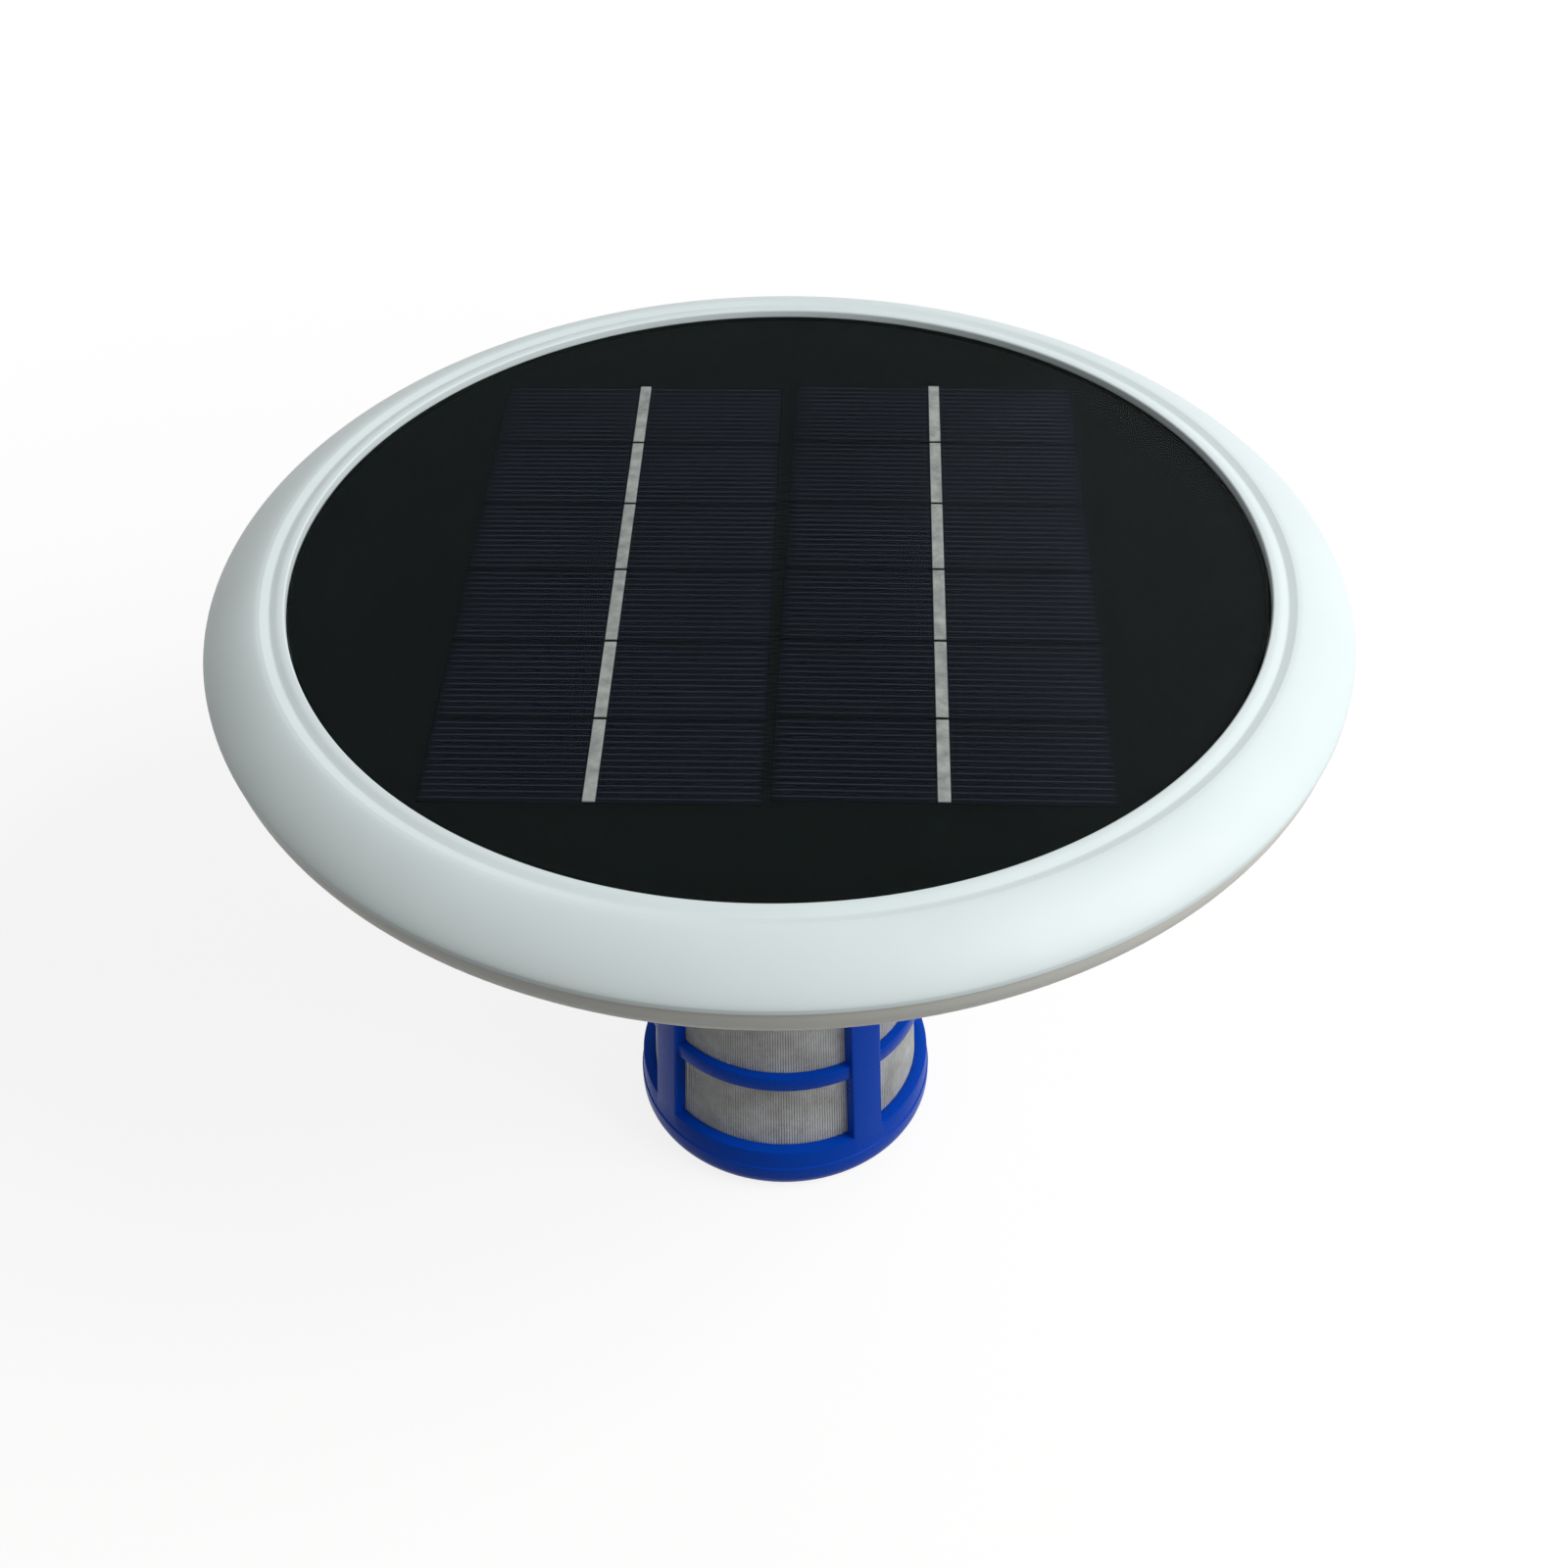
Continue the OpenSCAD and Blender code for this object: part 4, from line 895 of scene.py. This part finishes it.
post = turned("cathode_pin", eased([(0.0, SPRING_TOP), (3.0, SPRING_TOP, 0.3), (3.0, 70.5, 0.3),
                                    (2.0, 70.5, 0.1), (2.0, 80.5, 0.4), (0.0, 80.5)]), 48)
post.data.transform(Matrix.Translation(Vector((-SPRING_R, 0, 0)) * MM))
dress(post, "float", "steel", STEEL, "cathode_post")


def make_spring():
    """Cathode spring: down from its post, round a bend into six turns, and out in a short end."""
    bend, turns, steps = 2.7, 6, 48
    top = SPRING_TOP - SPRING_WIRE - bend
    pitch = (top - ANODE_LOW - SPRING_WIRE) / turns
    around = FULL * SPRING_R
    path = [(0.0, SPRING_TOP)]
    path += [(bend * (1 - math.cos(t)), SPRING_TOP - SPRING_WIRE - bend * math.sin(t))
             for t in (math.pi / 2 * i / 8 for i in range(9))]
    path += [(bend + around * i / steps, top - pitch * i / steps) for i in range(1, turns * steps + 1)]
    ways = [-math.pi / 2 + along / SPRING_R for along, z in path]
    points = [(SPRING_R * math.sin(way), -SPRING_R * math.cos(way), z) for way, (along, z) in zip(ways, path)]
    end = Vector(points[-1]) + Vector((math.cos(ways[-1]), math.sin(ways[-1]), 0)) * SPRING_WIRE
    return drawn("cathode_coil", points + [tuple(end)], SPRING_WIRE / 2 - 0.02, 3)


dress(make_spring(), "float", "steel", STEEL, "cathode_spring", angle=60)


def hanging(low, top, slack, name):
    """A wire that leaves its barrel straight, hangs with some slack and goes through the lid."""
    low, top = Vector(low), Vector(top)
    straight, lid_low = 6.0, 128.5
    along = Vector((top.x - low.x, top.y - low.y, 0)).normalized()
    points = [tuple(low)]
    for i in range(25):
        t = i / 24
        flat = low + (top - low) * (1 - math.cos(math.pi * t)) / 2
        flat += along * slack * (1 - math.cos(FULL * t)) / 2
        points.append((flat.x, flat.y, low.z + straight + (lid_low - low.z - straight) * t))
    return drawn(name, points + [tuple(top)], 0.88, 3)


red = hanging((7.7, 0.0, 77.3), (8.5, 0.0, 135.5), 7.0, "red_lead")
dress(red, "float", "wire_red", WIRE_RED, "red_wire", angle=60)
black = hanging((-SPRING_R, 6.8, 75.8), (-8.5, 0.0, 135.5), 3.5, "black_lead")
dress(black, "float", "wire_black", WIRE_BLACK, "black_wire", angle=60)


# Thumb nut

def make_thumb_nut():
    """Thumb nut with finger scallops, a rounded closed end and a pocket for its insert."""
    knob = turned("thumb_knob", eased([(0.0, 0.8), (9.5, 0.8, 0.9), (9.5, 6.7, 0.5), (0.0, 6.7)]), 96)
    scallops = [rod("scallop", 2.2, -1.0, 8.0, 10.8 * math.cos(a), 10.8 * math.sin(a), 24)
                for a in (FULL * i / 8 for i in range(8))]
    carve(knob, scallops)
    carve(knob, [rod("pocket", 4.5 / math.cos(math.pi / 6) + 0.1, 1.7, 8.0, 0.0, 0.0, 6)])
    soften(knob, 0.22, 2, 40)
    return knob


dress(make_thumb_nut(), "thumb_nut", "basket_blue", NUT_BLUE, "thumb_nut")
insert = make_hex_nut("brass_insert", 1.7, 6.7, 9.0, 3.05)
dress(insert, "thumb_nut", "brass", BRASS, "nut_insert")
nut_washer = turned("knob_disc", eased([(3.2, 7.0, 0.1), (7.5, 7.0, 0.3), (7.5, 8.2, 0.3),
                                        (3.2, 8.2, 0.1)]), 64)
dress(nut_washer, "nut", "steel", STEEL, "nut_washer")


# Nodes that keep their own shape

KEPT = {
    "panel_sealant": RUBBER, "back_ribbons": RIBBON,
    "junction_box": BOX_BLACK, "junction_lid": BOX_BLACK, "solder_tabs": BRASS,
    "blocking_diode": BOX_BLACK, "anode_terminal": BRASS, "cathode_terminal": BRASS,
    "stud_seal": RUBBER, "stud_nut": STEEL, "cathode_seal": RUBBER, "cathode_nut": STEEL,
}
for name, finish in KEPT.items():
    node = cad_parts[name]
    for place in node.material_slots:
        place.material = finish


# Floor, light and camera

def make_ground():
    """Plain pale floor that keeps a soft shadow, and is clear from below."""
    bpy.ops.object.select_all(action="DESELECT")
    bpy.ops.mesh.primitive_plane_add(size=40, location=(0, 0, -0.05 * MM))
    ground = named("studio_floor")
    finish = bpy.data.materials.new("studio floor")
    finish.use_nodes = True
    tree = finish.node_tree
    out = tree.nodes["Material Output"]
    shader = tree.nodes["Principled BSDF"]
    shader.inputs["Roughness"].default_value = 0.9
    shader.inputs["Specular IOR Level"].default_value = 0.0
    glow = tree.nodes.new("ShaderNodeEmission")
    glow.inputs["Strength"].default_value = 1.05
    seen = seen_rays(tree)
    link(tree, mixed(tree, seen, (0.22, 0.22, 0.22, 1), (0.95, 0.95, 0.95, 1)), shader.inputs["Base Color"])
    lit = tree.nodes.new("ShaderNodeMixShader")
    far = tree.nodes.new("ShaderNodeVectorMath")
    far.operation = "LENGTH"
    link(tree, tree.nodes.new("ShaderNodeTexCoord").outputs["Object"], far.inputs[0])
    white = ranged(tree, far.outputs["Value"], 0.2, 0.7, 0.8, 1.0)
    link(tree, sums(tree, "MULTIPLY", seen, white), lit.inputs[0])
    link(tree, shader.outputs[0], lit.inputs[1])
    link(tree, glow.outputs[0], lit.inputs[2])
    clear = tree.nodes.new("ShaderNodeBsdfTransparent")
    side = tree.nodes.new("ShaderNodeNewGeometry")
    both = tree.nodes.new("ShaderNodeMixShader")
    link(tree, side.outputs["Backfacing"], both.inputs[0])
    link(tree, lit.outputs[0], both.inputs[1])
    link(tree, clear.outputs[0], both.inputs[2])
    link(tree, both.outputs[0], out.inputs["Surface"])
    ground.data.materials.append(finish)


def make_world():
    """A white room where it is seen, and a dim grey one where it only lights."""
    world = bpy.data.worlds.new("studio")
    bpy.context.scene.world = world
    world.use_nodes = True
    tree = world.node_tree
    back = tree.nodes["Background"]
    seen = seen_rays(tree)
    link(tree, mixed(tree, seen, (1.0, 1.0, 0.97, 1), (1.0, 1.0, 1.0, 1)), back.inputs["Color"])
    link(tree, ranged(tree, seen, 0.0, 1.0, 0.28, 1.0), back.inputs["Strength"])


def make_lamp(name, place, size, power, colour):
    """A round soft lamp that is turned to the float."""
    lamp = bpy.data.lights.new(name, "AREA")
    lamp.shape = "DISK"
    lamp.size = size
    lamp.energy = power
    lamp.color = colour
    holder = bpy.data.objects.new(name, lamp)
    bpy.context.scene.collection.objects.link(holder)
    holder.location = place
    aim = Vector((0, 0, 0.1)) - Vector(place)
    holder.rotation_euler = aim.to_track_quat("-Z", "Y").to_euler()


def make_camera():
    """The photograph's own view: its distance, height, tilt and lens, fitted to the float's circles."""
    picture, focal = 1600, 2159.725
    height, distance, roll = math.radians(36.05), 0.372514, math.radians(-0.818)
    aim_u, aim_v, aim_z = 794.011, 571.812, 0.139
    eye = Vector((0, -distance * math.cos(height), distance * math.sin(height)))
    ahead = -eye.normalized()
    right = Vector((1, 0, 0))
    up = right.cross(ahead)
    level = Matrix((right, -up, ahead))
    tilt = Matrix.Rotation(roll, 3, "Z")
    off = Vector(((aim_u - picture / 2) / focal, (aim_v - picture / 2) / focal, 1)).normalized()
    pan = Vector((0, 0, 1)).rotation_difference(off).to_matrix()
    turn = pan @ tilt @ level
    camera = bpy.data.cameras.new("view")
    camera.sensor_width = 36
    camera.lens = focal / picture * camera.sensor_width
    camera.clip_start, camera.clip_end = 0.01, 20
    holder = bpy.data.objects.new("view", camera)
    bpy.context.scene.collection.objects.link(holder)
    facing = Matrix((turn[0], -turn[1], -turn[2])).transposed().to_4x4()
    holder.matrix_world = Matrix.Translation(eye + Vector((0, 0, aim_z))) @ facing
    bpy.context.scene.camera = holder


make_ground()
make_world()
make_lamp("key", (0.868, -0.333, 0.95), 0.9, 13.5, (1.0, 0.99, 0.975))
make_lamp("fill", (0.5, 0.95, 0.8), 0.8, 1.6, (0.97, 0.99, 1.0))
make_camera()
bpy.context.scene.view_settings.view_transform = "Standard"
